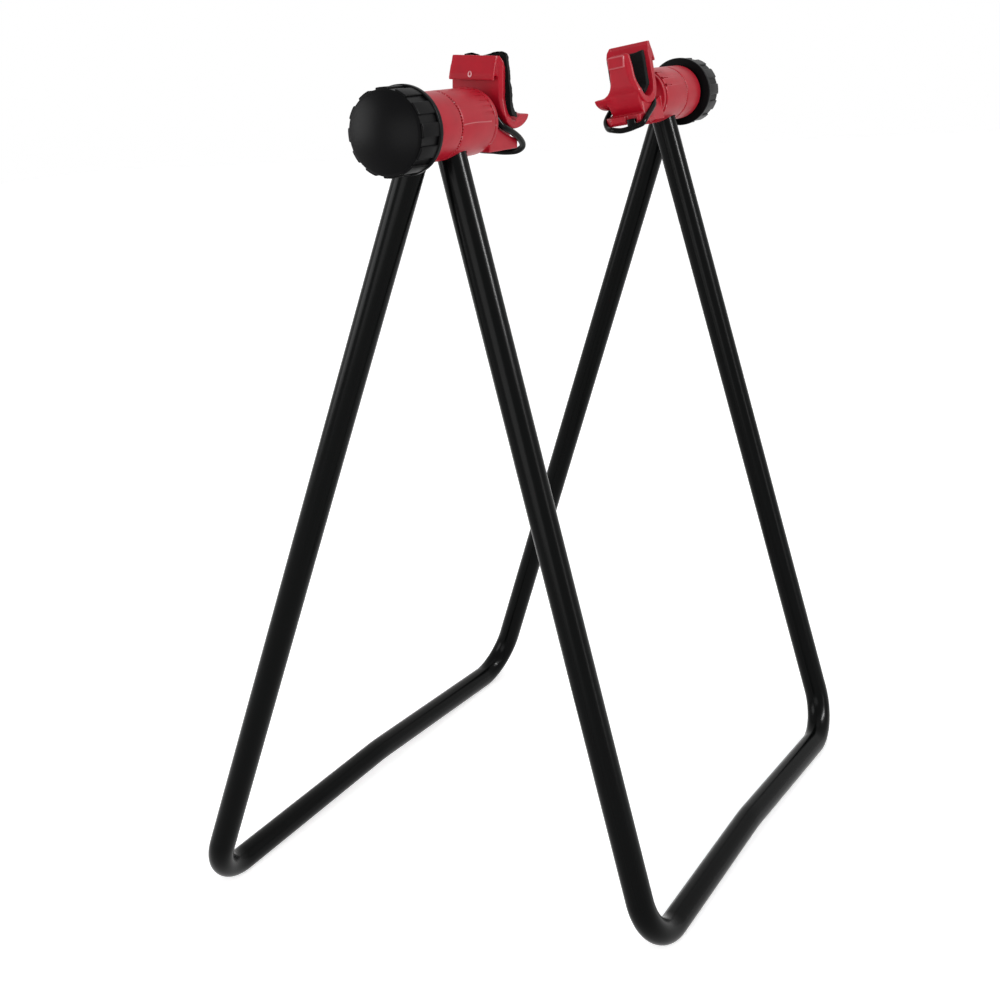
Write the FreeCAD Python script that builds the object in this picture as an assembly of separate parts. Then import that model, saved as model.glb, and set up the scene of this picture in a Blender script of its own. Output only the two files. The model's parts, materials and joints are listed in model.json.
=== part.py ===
import FreeCAD, Part
import math
import os

from FreeCAD import Vector

# Folding bicycle stand for a rear wheel: a wide and a narrow U frame of bent tube share one head axis.
# Each side has two collars, a screw knob and a moulded hook that takes a stay of the bicycle frame.
# Millimetres and degrees. X runs along the head axis, Z is up and the floor is z = 0.
# The origin lies on the floor, midway between the two foot bars. The right side is +X.

# Tube frames
tube_od = 14.0
tube_wall = 1.2
bend_radius = 26.0
bar_crown_radius = 150.0
head_height = 409.0
wide_lean = 22.3
narrow_lean = 12.7
wide_top_half = 143.5
wide_foot_half = 168.0
wide_bar_rise = 7.4
narrow_top_half = 124.0
narrow_foot_half = 140.5
narrow_bar_rise = 4.7
tube_end_reach = 8.0

# Screw, nut and washer of one head
screw_diameter = 6.0
screw_length = 70.0
screw_head_flats = 10.0
screw_head_height = 4.0
nut_height = 5.0
washer_od = 18.0
washer_thickness = 1.6

# Clearances
screw_clearance = 0.3
thread_clearance = 0.05
press_clearance = 0.05
face_gap = 0.15

# Collars, measured outwards from the middle of the stand
collar_radius = 15.75
collar_edge = 0.7
inner_collar_start = 103.0
inner_collar_length = 30.0
outer_collar_length = 20.0
fold_seam = 1.0
hook_seam = 0.8

# Face teeth
tooth_inner_radius = 9.5
tooth_outer_radius = 13.5
tooth_relief = 0.5
tooth_land_share = 0.1
fold_tooth_count = 72
fold_tooth_depth = 0.8
fold_tip_gap = 0.2
hook_tooth_count = 30
hook_tooth_depth = 0.6
hook_tip_gap = 0.2

# Angle marks on the rim of each inner collar
mark_reach = 7
mark_pitch = 11.0
mark_length = 8.3
mark_width = 1.5
mark_depth = 0.3

# Knob
knob_flange_radius = 20.0
knob_flange_thickness = 3.0
knob_back_step = 1.6
knob_boss_radius = 11.0
grip_radius = 19.5
grip_length = 13.5
grip_wall = 3.1
grip_pad_count = 12
grip_groove_depth = 0.8
grip_edge = 0.7
socket_boss_radius = 8.2
rib_count = 6
rib_thickness = 1.6
cap_radius = 18.5
cap_rise = 4.3
cap_rim = 0.6
cap_shell = 2.0
cap_plug_depth = 3.5
cap_plug_wall = 1.6

# Hook: a seat for the stay, with a tall plate outside it and a tongue inside it
# The fin side of the right hook is +Y and its notch side is -Y, both measured from the head axis
hook_fin_side = 13.8
hook_notch_side = 15.0
seat_radius = 7.5
seat_height = 7.0
seat_wall = 3.8
plate_outer_x = 90.8
plate_height = 30.0
plate_lead_width = 3.0
plate_lead_height = 5.4
plate_fin_side = 12.0
plate_edge_rise = 3.0
plate_edge_fall = 5.6
plate_edge_depth = 2.5
plate_corner_width = 2.0
plate_corner_height = 4.5
lip_end_inset = 4.3
lip_reach = 3.4
lip_drop = 11.4
lip_slope_top = 0.8
lip_slope_end = 8.0
lip_thickness = 1.3
tongue_height = 24.3
tongue_lean = 3.3
tongue_thickness = 3.0
tongue_free_side = 3.2
tongue_slant_side = 9.0
tongue_slant_bow = 0.3
tongue_corner = 1.6
tongue_flare_radius = 8.0
tab_fin_side = 3.7
tab_notch_side = 6.3
tab_low = 17.3
tab_high = 23.6
tab_rise = 1.0
fin_reach = 3.2

# Hook: neck, flange and the shelf below the seat
neck_radius = 7.5
neck_flare_radius = 7.2
flange_radius = 15.3
flange_thickness = 2.7
nut_inset = 1.7
shelf_fin_side = 11.4
shelf_notch_side = 12.4
shelf_front_x = 67.0
shelf_front_thickness = 5.0
shelf_front_chamfer = 1.2
shelf_slope_x = 78.0
shelf_bottom = 14.0
shelf_root_height = 1.2
shelf_step_height = 8.5
shelf_corner_depth = 8.0
shelf_corner_width = 5.6
web_front_x = 71.0
web_back_x = 85.0
web_top = 0.5
notch_offset = 6.6
notch_width = 7.0
notch_depth = 3.4

# Lean of the hooks: the right one leans to +Y and the left one, the same moulding turned round, to -Y
right_hook_tilt = 7.0
left_hook_tilt = -5.0

# Soft parts
pad_thickness = 2.9
pad_width = 24.4
right_pad_shift = -1.4
left_pad_shift = 1.2
pad_wrap_angle = 48.0
right_pad_top = 24.6
left_pad_top = 31.4
ring_wire = 2.9
ring_lug_width = 5.0
ring_lug_depth = 2.6
ring_lug_height = 5.4

# Centreline points of the rubber rings in the frame of the right hook, from the front of the shelf round
# its notch side or fin side, over the neck and back
right_ring_points = [(66.6, -11.2, -16.0), (65.9, -6.2, -16.8), (65.9, 0.0, -17.0), (66.8, 5.2, -16.6),
                     (70.2, 10.4, -15.0), (76.0, 13.3, -10.6), (83.2, 13.3, -5.9), (88.4, 12.4, -2.8),
                     (92.3, 10.2, 1.4), (93.2, 6.7, 6.8), (93.2, 0.0, 9.5), (93.2, -6.8, 6.7),
                     (92.6, -10.2, 0.6), (90.4, -11.6, -1.7), (87.4, -13.2, -3.4), (84.2, -14.4, -6.0),
                     (79.6, -14.4, -9.5), (73.6, -14.3, -12.2), (69.2, -14.1, -14.7)]
left_ring_points = [(67.3, 10.4, -14.4), (66.1, 6.6, -16.3), (66.0, 0.4, -17.0), (66.2, -6.6, -16.9),
                    (69.0, -11.8, -16.4), (75.0, -14.2, -14.4), (83.6, -14.5, -9.4), (88.6, -13.8, -3.8),
                    (92.0, -10.9, 0.8), (93.2, -6.9, 6.6), (93.2, 0.0, 9.5), (93.2, 6.8, 6.7),
                    (92.6, 10.2, 1.2), (90.6, 12.4, -2.3), (87.6, 13.2, -3.9), (83.8, 13.4, -5.2),
                    (76.2, 13.3, -8.5), (69.8, 12.2, -12.0)]

# Places worked out from the sizes above
tube_radius = tube_od / 2
head_drop = head_height - tube_radius
wide_foot_y = head_drop * math.tan(math.radians(wide_lean))
narrow_foot_y = head_drop * math.tan(math.radians(narrow_lean))
head_y = (narrow_foot_y - wide_foot_y) / 2
screw_radius = screw_diameter / 2
screw_bore = screw_radius + screw_clearance
inner_collar_end = inner_collar_start + inner_collar_length
outer_collar_start = inner_collar_end + fold_seam
outer_collar_end = outer_collar_start + outer_collar_length
fold_tip_proud = (fold_seam - fold_tip_gap) / 2
hook_tip_proud = (hook_seam - hook_tip_gap) / 2
washer_start = outer_collar_end + face_gap
knob_start = washer_start + washer_thickness + face_gap
knob_flange_start = knob_start + knob_back_step
grip_start = knob_flange_start + knob_flange_thickness
grip_end = grip_start + grip_length
screw_end = grip_start - screw_length
flange_end = inner_collar_start - hook_seam
flange_start = flange_end - flange_thickness
seat_x = plate_outer_x - seat_wall - seat_radius
plate_inner_x = seat_x + seat_radius
seat_outer_radius = seat_radius + seat_wall
seat_bottom = seat_height - seat_outer_radius
hook_width = hook_notch_side + hook_fin_side
shelf_width = shelf_notch_side + shelf_fin_side


def outline(start, *steps):
    """Closed wire; each step is the next corner, or a pair of middle and end points of an arc."""
    edges = []
    here = start
    for step in steps:
        if isinstance(step, tuple):
            middle, end = step
            edges.append(Part.Arc(here, middle, end).toShape())
        else:
            end = step
            edges.append(Part.LineSegment(here, end).toShape())
        here = end
    edges.append(Part.LineSegment(here, start).toShape())
    return Part.Wire(edges)


def prism(wire, direction):
    """Solid between a flat wire and its copy moved along a vector."""
    return Part.Face(wire).extrude(direction)


def turned(points):
    """Solid of revolution about X; each point is a distance along X and a radius, or a pair for an arc."""
    steps = []
    for point in points:
        if isinstance(point[0], tuple):
            steps.append(tuple(Vector(x, radius, 0) for x, radius in point))
        else:
            steps.append(Vector(point[0], point[1], 0))
    return Part.Face(outline(steps[0], *steps[1:])).revolve(Vector(0, 0, 0), Vector(1, 0, 0), 360)


def rod(radius, start_x, end_x):
    """Cylinder on the X axis."""
    return Part.makeCylinder(radius, end_x - start_x, Vector(start_x, 0, 0), Vector(1, 0, 0))


def hexagon(flats, start_x, end_x):
    """Hexagonal bar on the X axis with a flat side up."""
    corner_radius = flats / 2 / math.cos(math.radians(30))
    corners = []
    for index in range(6):
        angle = math.radians(60 * index)
        corners.append(Vector(start_x, corner_radius * math.cos(angle), corner_radius * math.sin(angle)))
    return prism(outline(corners[0], *corners[1:]), Vector(end_x - start_x, 0, 0))


def spun(shape, angle):
    """Copy of a shape turned about the X axis."""
    copy = shape.copy()
    copy.rotate(Vector(0, 0, 0), Vector(1, 0, 0), angle)
    return copy


def rounded_wire(points, radii):
    """Straight runs joined by tangent arcs at the inner points."""
    edges = []
    here = points[0]
    for before, corner, after, radius in zip(points, points[1:], points[2:], radii):
        back = (before - corner).normalize()
        ahead = (after - corner).normalize()
        half_angle = back.getAngle(ahead) / 2
        enter = corner + back * (radius / math.tan(half_angle))
        leave = corner + ahead * (radius / math.tan(half_angle))
        inward = (back + ahead).normalize()
        middle = corner + inward * (radius / math.sin(half_angle) - radius)
        edges.append(Part.LineSegment(here, enter).toShape())
        edges.append(Part.Arc(enter, middle, leave).toShape())
        here = leave
    edges.append(Part.LineSegment(here, points[-1]).toShape())
    return Part.Wire(edges)


def swept(path, radius):
    """Round bar along a wire."""
    first = path.OrderedEdges[0]
    start = first.valueAt(first.FirstParameter)
    direction = first.tangentAt(first.FirstParameter)
    section = Part.Wire(Part.makeCircle(radius, start, direction))
    return path.makePipeShell([section], True, False)


def leg_direction(top_half, foot_half, lean):
    """Unit vector down the right leg of a frame that leans to +Y for a positive angle."""
    depth = head_drop / math.cos(math.radians(lean))
    splay = math.atan2(foot_half - top_half, depth)
    down = math.cos(splay)
    lean_angle = math.radians(lean)
    return Vector(math.sin(splay), down * math.sin(lean_angle), -down * math.cos(lean_angle))


def frame_tube(top_half, foot_half, lean, bar_rise):
    """One-piece U frame: two legs and a foot bar that is crowned so that it stands on its two bends."""
    depth = head_drop / math.cos(math.radians(lean))
    splay = math.atan2(foot_half - top_half, depth)
    slope = math.atan2(bar_rise, foot_half)
    tangent_length = bend_radius * math.tan((math.pi / 2 + splay + slope) / 2)
    corner_depth = depth + tangent_length * math.sin(slope) - bend_radius * (1 - math.cos(slope))
    corner_half = top_half + corner_depth * math.tan(splay)
    lean_angle = math.radians(lean)

    def in_plane(half, down):
        return Vector(half, head_y + down * math.sin(lean_angle), head_height - down * math.cos(lean_angle))

    end_half = top_half - tube_end_reach * math.tan(splay)
    points = [in_plane(end_half, -tube_end_reach),
              in_plane(corner_half, corner_depth),
              in_plane(0, corner_depth - bar_rise),
              in_plane(-corner_half, corner_depth),
              in_plane(-end_half, -tube_end_reach)]
    path = rounded_wire(points, [bend_radius, bar_crown_radius, bend_radius])
    tube = swept(path, tube_radius).cut(swept(path, tube_radius - tube_wall))
    for side in (1, -1):
        hole = rod(screw_bore, -tube_od, tube_od)
        hole.translate(Vector(side * top_half, head_y, head_height))
        tube = tube.cut(hole)
    return tube


def tooth_gaps(count, tip_x, facing, depth, phase):
    """Wedge cutters that leave radial face teeth; facing is +1 or -1 along X."""
    gaps = []
    half_pitch = math.pi / count * (1 - tooth_land_share)
    wires = []
    for radius in (tooth_inner_radius - tooth_relief / 2, tooth_outer_radius + tooth_relief / 2):
        reach = depth * radius / tooth_outer_radius
        half_width = radius * math.tan(half_pitch)
        rise = reach / 4
        wires.append(outline(Vector(tip_x - facing * reach, 0, radius),
                             Vector(tip_x + facing * rise, half_width * (1 + rise / reach), radius),
                             Vector(tip_x + facing * rise, -half_width * (1 + rise / reach), radius)))
    wedge = Part.makeLoft(wires, True, True)
    for index in range(count):
        gaps.append(spun(wedge, phase + 360 * index / count))
    return gaps


def tooth_steps(face_x, facing, proud, depth):
    """Corners of a toothed ring that stands in a shallow recess of a face, from the bore outwards."""
    floor_x = face_x - facing * (depth - proud)
    tip_x = face_x + facing * proud
    return [(face_x, tooth_inner_radius - tooth_relief),
            (floor_x, tooth_inner_radius - tooth_relief),
            (floor_x, tooth_inner_radius),
            (tip_x, tooth_inner_radius),
            (tip_x, tooth_outer_radius),
            (floor_x, tooth_outer_radius),
            (floor_x, tooth_outer_radius + tooth_relief),
            (face_x, tooth_outer_radius + tooth_relief)]


def leg_socket(top_half, foot_half, lean):
    """Blind hole in a collar for the end of a right leg, in head coordinates."""
    down = leg_direction(top_half, foot_half, lean)
    start = Vector(top_half, 0, 0) - down * (tube_end_reach + press_clearance)
    return Part.makeCylinder(tube_radius + press_clearance, 2 * collar_radius + tube_end_reach, start, down)


def outer_collar():
    """Collar that carries a wide leg; its inner face has the fold teeth."""
    corners = [(outer_collar_start, screw_bore)]
    corners += tooth_steps(outer_collar_start, -1, fold_tip_proud, fold_tooth_depth)
    corners += [(outer_collar_start, collar_radius - collar_edge),
                (outer_collar_start + collar_edge, collar_radius),
                (outer_collar_end - collar_edge, collar_radius),
                (outer_collar_end, collar_radius - collar_edge),
                (outer_collar_end, screw_bore)]
    body = turned(corners).cut(leg_socket(wide_top_half, wide_foot_half, wide_lean))
    tip_x = outer_collar_start - fold_tip_proud
    return body.cut(tooth_gaps(fold_tooth_count, tip_x, -1, fold_tooth_depth, -wide_lean))


def inner_collar():
    """Collar that carries a narrow leg, with fold teeth outside, hook teeth inside and angle marks."""
    corners = [(inner_collar_start, screw_bore)]
    corners += tooth_steps(inner_collar_start, -1, hook_tip_proud, hook_tooth_depth)
    corners += [(inner_collar_start, collar_radius - collar_edge),
                (inner_collar_start + collar_edge, collar_radius),
                (inner_collar_end - collar_edge, collar_radius),
                (inner_collar_end, collar_radius - collar_edge)]
    corners += reversed(tooth_steps(inner_collar_end, 1, fold_tip_proud, fold_tooth_depth))
    corners += [(inner_collar_end, screw_bore)]
    body = turned(corners).cut(leg_socket(narrow_top_half, narrow_foot_half, -narrow_lean))
    fold_tip_x = inner_collar_end + fold_tip_proud
    fold_half_pitch = 180 / fold_tooth_count
    fold_phase = fold_half_pitch - wide_lean
    body = body.cut(tooth_gaps(fold_tooth_count, fold_tip_x, 1, fold_tooth_depth, fold_phase))
    hook_tip_x = inner_collar_start - hook_tip_proud
    body = body.cut(tooth_gaps(hook_tooth_count, hook_tip_x, -1, hook_tooth_depth, -right_hook_tilt))
    mark = Part.makeBox(mark_length, mark_width, 2 * mark_depth,
                        Vector(inner_collar_start + collar_edge, -mark_width / 2, collar_radius - mark_depth))
    return body.cut([spun(mark, index * mark_pitch) for index in range(-mark_reach, mark_reach + 1)])


def clamp_screw():
    """Hexagon head screw that clamps the knob, both collars and the hook together."""
    head = hexagon(screw_head_flats, grip_start, grip_start + screw_head_height)
    return head.fuse(rod(screw_radius, screw_end, grip_start)).removeSplitter()


def knob_washer():
    """Plain washer between the knob and the outer collar."""
    return rod(washer_od / 2, washer_start, washer_start + washer_thickness).cut(
        rod(screw_bore, washer_start - 1, washer_start + washer_thickness + 1))


def knob_grip():
    """Moulded knob body: a flange, a padded grip wall, and a ribbed boss that holds the screw head."""
    cavity_radius = grip_radius - grip_wall
    body = turned([(knob_start, 0),
                   (knob_start, knob_boss_radius),
                   (knob_flange_start, knob_boss_radius),
                   (knob_flange_start, knob_flange_radius - grip_edge),
                   (knob_flange_start + grip_edge, knob_flange_radius),
                   (grip_start - grip_edge, knob_flange_radius),
                   (grip_start, knob_flange_radius - grip_edge),
                   (grip_start, grip_radius),
                   (grip_end - grip_edge, grip_radius),
                   (grip_end, grip_radius - grip_edge),
                   (grip_end, cavity_radius),
                   (grip_start, cavity_radius),
                   (grip_start, 0)])
    half_pitch = math.pi / grip_pad_count
    groove_radius = grip_radius - grip_groove_depth
    outside_radius = grip_radius + grip_groove_depth
    bottom_half = groove_radius * math.sin(half_pitch * 0.42)
    mouth_half = outside_radius * math.sin(half_pitch * 0.62)
    groove = prism(outline(Vector(grip_start, -bottom_half, groove_radius),
                           Vector(grip_start, -mouth_half, outside_radius),
                           Vector(grip_start, mouth_half, outside_radius),
                           Vector(grip_start, bottom_half, groove_radius)),
                   Vector(grip_length + 1, 0, 0))
    body = body.cut([spun(groove, 360 * index / grip_pad_count) for index in range(grip_pad_count)])
    boss_end = grip_start + screw_head_height
    boss = rod(socket_boss_radius, grip_start, boss_end)
    rib_inner = screw_head_flats / 2
    rib_outer = cavity_radius + grip_wall / 2
    rib = Part.makeBox(screw_head_height, rib_thickness, rib_outer - rib_inner,
                       Vector(grip_start, -rib_thickness / 2, rib_inner))
    ribs = [spun(rib, 360 * index / rib_count) for index in range(rib_count)]
    body = body.fuse([boss] + ribs)
    pocket = hexagon(screw_head_flats + 2 * press_clearance, grip_start, boss_end + 1)
    return body.cut([pocket, rod(screw_radius + press_clearance, knob_start - 1, grip_start + 1)])


def knob_cap():
    """Domed cap that plugs the front of the knob."""
    dome_radius = (cap_radius ** 2 + cap_rise ** 2) / (2 * cap_rise)
    rim_x = grip_end + cap_rim
    centre_x = rim_x + cap_rise - dome_radius

    def dome_point(offset, radius):
        return Vector(centre_x + math.sqrt((dome_radius - offset) ** 2 - radius ** 2), radius, 0)

    plug_radius = grip_radius - grip_wall - press_clearance
    plug_inner = plug_radius - cap_plug_wall
    plug_end = grip_end - cap_plug_depth
    section = outline(Vector(grip_end, cap_radius, 0),
                      Vector(rim_x, cap_radius, 0),
                      (dome_point(0, cap_radius / 2), dome_point(0, 0)),
                      dome_point(cap_shell, 0),
                      (dome_point(cap_shell, plug_inner / 2), dome_point(cap_shell, plug_inner)),
                      Vector(plug_end, plug_inner, 0),
                      Vector(plug_end, plug_radius, 0),
                      Vector(grip_end, plug_radius, 0))
    return Part.Face(section).revolve(Vector(0, 0, 0), Vector(1, 0, 0), 360)


def hook_side_section():
    """Outline of the plate, seat and tongue seen along Y."""
    def at(x, z):
        return Vector(x, -hook_notch_side, z)

    tongue_foot_x = seat_x - seat_outer_radius
    tongue_top_x = tongue_foot_x + tongue_lean
    middle_height = (seat_height + tongue_height) / 2
    middle_x = tongue_foot_x + tongue_lean * 0.35
    inner_foot_x = seat_x - seat_radius
    inner_middle_x = (inner_foot_x + tongue_top_x + tongue_thickness) / 2 - tongue_lean * 0.15
    return outline(at(plate_inner_x, plate_height - plate_lead_height),
                   at(plate_inner_x + plate_lead_width, plate_height),
                   at(plate_outer_x, plate_height),
                   at(plate_outer_x, seat_height),
                   (at(seat_x, seat_bottom), at(tongue_foot_x, seat_height)),
                   (at(middle_x, middle_height), at(tongue_top_x, tongue_height)),
                   at(tongue_top_x + tongue_thickness, tongue_height),
                   (at(inner_middle_x, middle_height), at(inner_foot_x, seat_height)),
                   (at(seat_x, seat_height - seat_radius), at(plate_inner_x, seat_height)))


def lip():
    """Outward lip at the top of the plate, with a downward edge that a stretched ring hooks under."""
    def at(x, below_top):
        return Vector(plate_outer_x + x, -hook_notch_side, plate_height - below_top)

    edge_inside = lip_reach - lip_thickness
    section = outline(at(-seat_wall / 2, 0),
                      at(lip_reach * 0.25, 0),
                      at(lip_reach * 0.3, lip_slope_top),
                      at(lip_reach, lip_slope_end),
                      at(lip_reach, lip_drop),
                      at(edge_inside, lip_drop),
                      at(edge_inside, lip_slope_end + lip_thickness / 2),
                      at(0, lip_slope_end + lip_thickness / 2),
                      at(-seat_wall / 2, lip_slope_end + lip_thickness / 2))
    return prism(section, Vector(0, hook_width - lip_end_inset, 0))


def plate_edge():
    """Cutter for the fin side of the plate, which narrows above the seat and has a slanted top corner."""
    def at(y, z):
        return Vector(plate_inner_x - plate_edge_depth, y, z)

    section = outline(at(plate_fin_side - plate_corner_width, plate_height + 1),
                      at(plate_fin_side - plate_corner_width, plate_height),
                      at(plate_fin_side, plate_height - plate_corner_height),
                      at(plate_fin_side, seat_height + plate_edge_rise),
                      at(hook_fin_side, seat_height - plate_edge_fall),
                      at(hook_fin_side + 1, seat_height - plate_edge_fall),
                      at(hook_fin_side + 1, plate_height + 1))
    return prism(section, Vector(plate_edge_depth + seat_wall + lip_reach + 1, 0, 0))


def tongue_cutters():
    """Material taken off both sides of the tongue: a quarter round on +Y and a long slant on -Y."""
    front_x = seat_x - seat_outer_radius - 5
    depth = Vector(seat_x - front_x, 0, 0)
    fin_end = hook_fin_side + 1
    notch_end = -hook_notch_side - 1
    above = tongue_height + 2

    def at(y, z):
        return Vector(front_x, y, z)

    flare_top = seat_height + tongue_flare_radius * 0.4
    flare_centre_y = tongue_free_side + tongue_flare_radius
    flare_mid = tongue_flare_radius * math.sqrt(0.5)
    free_side = outline(at(tongue_free_side - tongue_corner, above),
                        at(tongue_free_side - tongue_corner, tongue_height),
                        (at(tongue_free_side - tongue_corner * 0.3, tongue_height - tongue_corner * 0.3),
                         at(tongue_free_side, tongue_height - tongue_corner)),
                        at(tongue_free_side, flare_top),
                        (at(flare_centre_y - flare_mid, flare_top - flare_mid),
                         at(flare_centre_y, flare_top - tongue_flare_radius)),
                        at(fin_end, flare_top - tongue_flare_radius),
                        at(fin_end, above))
    slant_foot = seat_bottom + seat_wall * 1.5
    slant_y = -(tongue_slant_side + hook_notch_side) / 2 + tongue_slant_bow
    slant_z = (tongue_height - tongue_corner + slant_foot) / 2
    slant_side = outline(at(tongue_corner - tongue_slant_side, above),
                         at(tongue_corner - tongue_slant_side, tongue_height),
                         (at(tongue_corner * 0.3 - tongue_slant_side, tongue_height - tongue_corner * 0.3),
                          at(-tongue_slant_side, tongue_height - tongue_corner)),
                         (at(slant_y, slant_z), at(-hook_notch_side, slant_foot)),
                         at(notch_end, slant_foot),
                         at(notch_end, above))
    return [prism(free_side, depth), prism(slant_side, depth)]


def tongue_fin():
    """Pointed foot of the tongue on the +Y side, which grows towards the end of the seat."""
    flare_bottom = seat_height + tongue_flare_radius * 0.4 - tongue_flare_radius
    rise = seat_height - flare_bottom
    tip_x = seat_x - math.sqrt(seat_outer_radius ** 2 - rise ** 2)
    inner_x = seat_x - math.sqrt(seat_radius ** 2 - rise ** 2)
    sections = []
    for y, reach in ((tongue_free_side, 0), (hook_fin_side, fin_reach)):
        sections.append(outline(Vector(seat_x, y, seat_bottom),
                                Vector((tip_x + seat_x) / 2 - reach / 2, y, seat_bottom + seat_wall * 0.35),
                                Vector(tip_x - reach, y, flare_bottom - 0.3),
                                Vector(inner_x, y, flare_bottom),
                                Vector(seat_x, y, seat_height - seat_radius)))
    return Part.makeLoft(sections, True, True)


def seat_space():
    """The space inside the hook where the stay lies."""
    def at(x, z):
        return Vector(x, -hook_notch_side - 1, z)

    section = outline(at(plate_inner_x, plate_height + 1),
                      at(plate_inner_x, seat_height),
                      (at(seat_x, seat_height - seat_radius), at(seat_x - seat_radius, seat_height)),
                      at(seat_x - seat_radius, plate_height + 1))
    return prism(section, Vector(0, hook_width + 2, 0))


def hook_neck():
    """Neck and toothed flange that join the seat to the head axis."""
    flare_start = flange_start - neck_flare_radius
    flare_end_radius = neck_radius + neck_flare_radius
    flare_middle = neck_flare_radius * math.sqrt(0.5)
    corners = [(seat_x, 0),
               (seat_x, neck_radius),
               (flare_start, neck_radius),
               ((flare_start + flare_middle, flare_end_radius - flare_middle),
                (flange_start, flare_end_radius)),
               (flange_start, flange_radius),
               (flange_end - collar_edge / 2, flange_radius),
               (flange_end, flange_radius - collar_edge / 2)]
    corners += reversed(tooth_steps(flange_end, 1, hook_tip_proud, hook_tooth_depth))
    corners += [(flange_end, 0)]
    neck = turned(corners)
    hook_half_pitch = 180 / hook_tooth_count
    return neck.cut(tooth_gaps(hook_tooth_count, flange_end + hook_tip_proud, 1,
                               hook_tooth_depth, hook_half_pitch))


def hook_shelf():
    """Shelf below the seat, with the notch that anchors the lug of the rubber ring."""
    def at(x, z):
        return Vector(x, -shelf_notch_side, z)

    front_top = -shelf_bottom + shelf_front_thickness
    section = outline(at(flange_start + flange_thickness / 2, -shelf_root_height),
                      at(flange_start, -shelf_root_height),
                      at(shelf_slope_x, -shelf_step_height),
                      at(shelf_front_x, front_top),
                      at(shelf_front_x, -shelf_bottom + shelf_front_chamfer),
                      at(shelf_front_x + shelf_front_chamfer, -shelf_bottom),
                      at(flange_start + flange_thickness / 2, -shelf_bottom))
    shelf = prism(section, Vector(0, shelf_width, 0))
    web_low = shelf_front_chamfer - shelf_bottom
    web = Part.makeBox(web_back_x - web_front_x, shelf_width, web_top - web_low,
                       Vector(web_front_x, -shelf_notch_side, web_low))
    low = -shelf_bottom - 1
    outside_y = shelf_fin_side + shelf_corner_width / shelf_corner_depth
    corner = prism(outline(Vector(shelf_front_x - 1, outside_y - shelf_corner_width * 1.25, low),
                           Vector(shelf_front_x - 1, outside_y, low),
                           Vector(shelf_front_x + shelf_corner_depth * 1.125, outside_y, low)),
                   Vector(0, 0, shelf_bottom))
    notch = Part.makeBox(notch_depth + 1, notch_width, shelf_bottom,
                         Vector(shelf_front_x - 1, -notch_offset - notch_width / 2, low))
    return shelf.fuse(web).cut([corner, notch]).common(rounded_shelf_plan())


def rounded_shelf_plan():
    """Envelope that keeps the root of the shelf inside the round flange."""
    block = Part.makeBox(flange_start - shelf_front_x + 1, 2 * shelf_width, 4 * shelf_bottom,
                         Vector(shelf_front_x - 1, -shelf_width, -2 * shelf_bottom))
    return block.fuse(rod(flange_radius, flange_start - 1, flange_end))


def hook_body():
    """The whole moulded hook on the right side, upright."""
    sides = prism(hook_side_section(), Vector(0, hook_width, 0))
    sides = sides.cut(tongue_cutters())
    foot_x = seat_x - seat_outer_radius
    tab_x = foot_x + tongue_lean * 0.55
    tab = prism(outline(Vector(tab_x - tab_rise, -tab_notch_side, tab_low),
                        Vector(tab_x + tongue_thickness / 2, -tab_notch_side, tab_low),
                        Vector(foot_x + tongue_lean + tongue_thickness / 2, -tab_notch_side, tab_high),
                        Vector(foot_x + tongue_lean - tab_rise, -tab_notch_side, tab_high)),
                Vector(0, tab_notch_side + tab_fin_side, 0))
    inner_parts = [hook_neck(), hook_shelf()]
    inner_parts = [part.cut(seat_space()) for part in inner_parts]
    body = sides.fuse([lip(), tab, tongue_fin()] + inner_parts).removeSplitter()
    nut_space = hexagon(screw_head_flats + 2 * press_clearance,
                        plate_outer_x + nut_inset - press_clearance,
                        plate_outer_x + nut_inset + nut_height + press_clearance)
    return body.cut([plate_edge(), nut_space, rod(screw_bore, screw_end - 1, flange_end + 1)])


def hook_nut():
    """Hexagon nut moulded into the neck of the hook."""
    start_x = plate_outer_x + nut_inset
    nut = hexagon(screw_head_flats, start_x, start_x + nut_height)
    return nut.cut(rod(screw_radius + thread_clearance, start_x - 1, start_x + nut_height + 1))


def stay_pad(top, shift):
    """Soft strip on the inside of the plate that follows the seat at its lower end."""
    low_y = shift - pad_width / 2
    outer = seat_radius - press_clearance
    inner = seat_radius - pad_thickness

    def at(radius, angle):
        turn = math.radians(angle)
        return Vector(seat_x + radius * math.cos(turn), low_y, seat_height - radius * math.sin(turn))

    round_top = pad_thickness * 0.6
    section = outline(at(outer, pad_wrap_angle),
                      (at(outer, pad_wrap_angle / 2), at(outer, 0)),
                      Vector(seat_x + outer, low_y, top - round_top),
                      Vector(seat_x + outer - pad_thickness * 0.35, low_y, top),
                      Vector(seat_x + inner + pad_thickness * 0.2, low_y, top),
                      Vector(seat_x + inner, low_y, top - round_top),
                      at(inner, 0),
                      (at(inner, pad_wrap_angle / 2), at(inner, pad_wrap_angle)))
    return prism(section, Vector(0, pad_width, 0))


def rubber_ring(points):
    """Closed ring of round rubber that hangs round the neck, with the lug that sits in the notch."""
    curve = Part.BSplineCurve()
    curve.interpolate(Points=[Vector(*point) for point in points], PeriodicFlag=True)
    start, end = curve.FirstParameter, curve.LastParameter
    middle = (start + end) / 2
    halves = [swept(Part.Wire(curve.toShape(low, high)), ring_wire / 2)
              for low, high in ((start, middle), (middle, end))]
    lug = Part.makeBox(ring_lug_depth, ring_lug_width, ring_lug_height,
                       Vector(shelf_front_x - ring_lug_depth / 3, -notch_offset - ring_lug_width / 2,
                              -shelf_bottom - ring_wire * 0.9))
    return halves[0].fuse([halves[1], lug]).removeSplitter()


def place_head(shape, side):
    """Move a right-hand head part to the head axis, mirrored for the left side."""
    if side < 0:
        shape = shape.mirror(Vector(0, 0, 0), Vector(1, 0, 0))
    shape.translate(Vector(0, head_y, head_height))
    return shape


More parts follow.
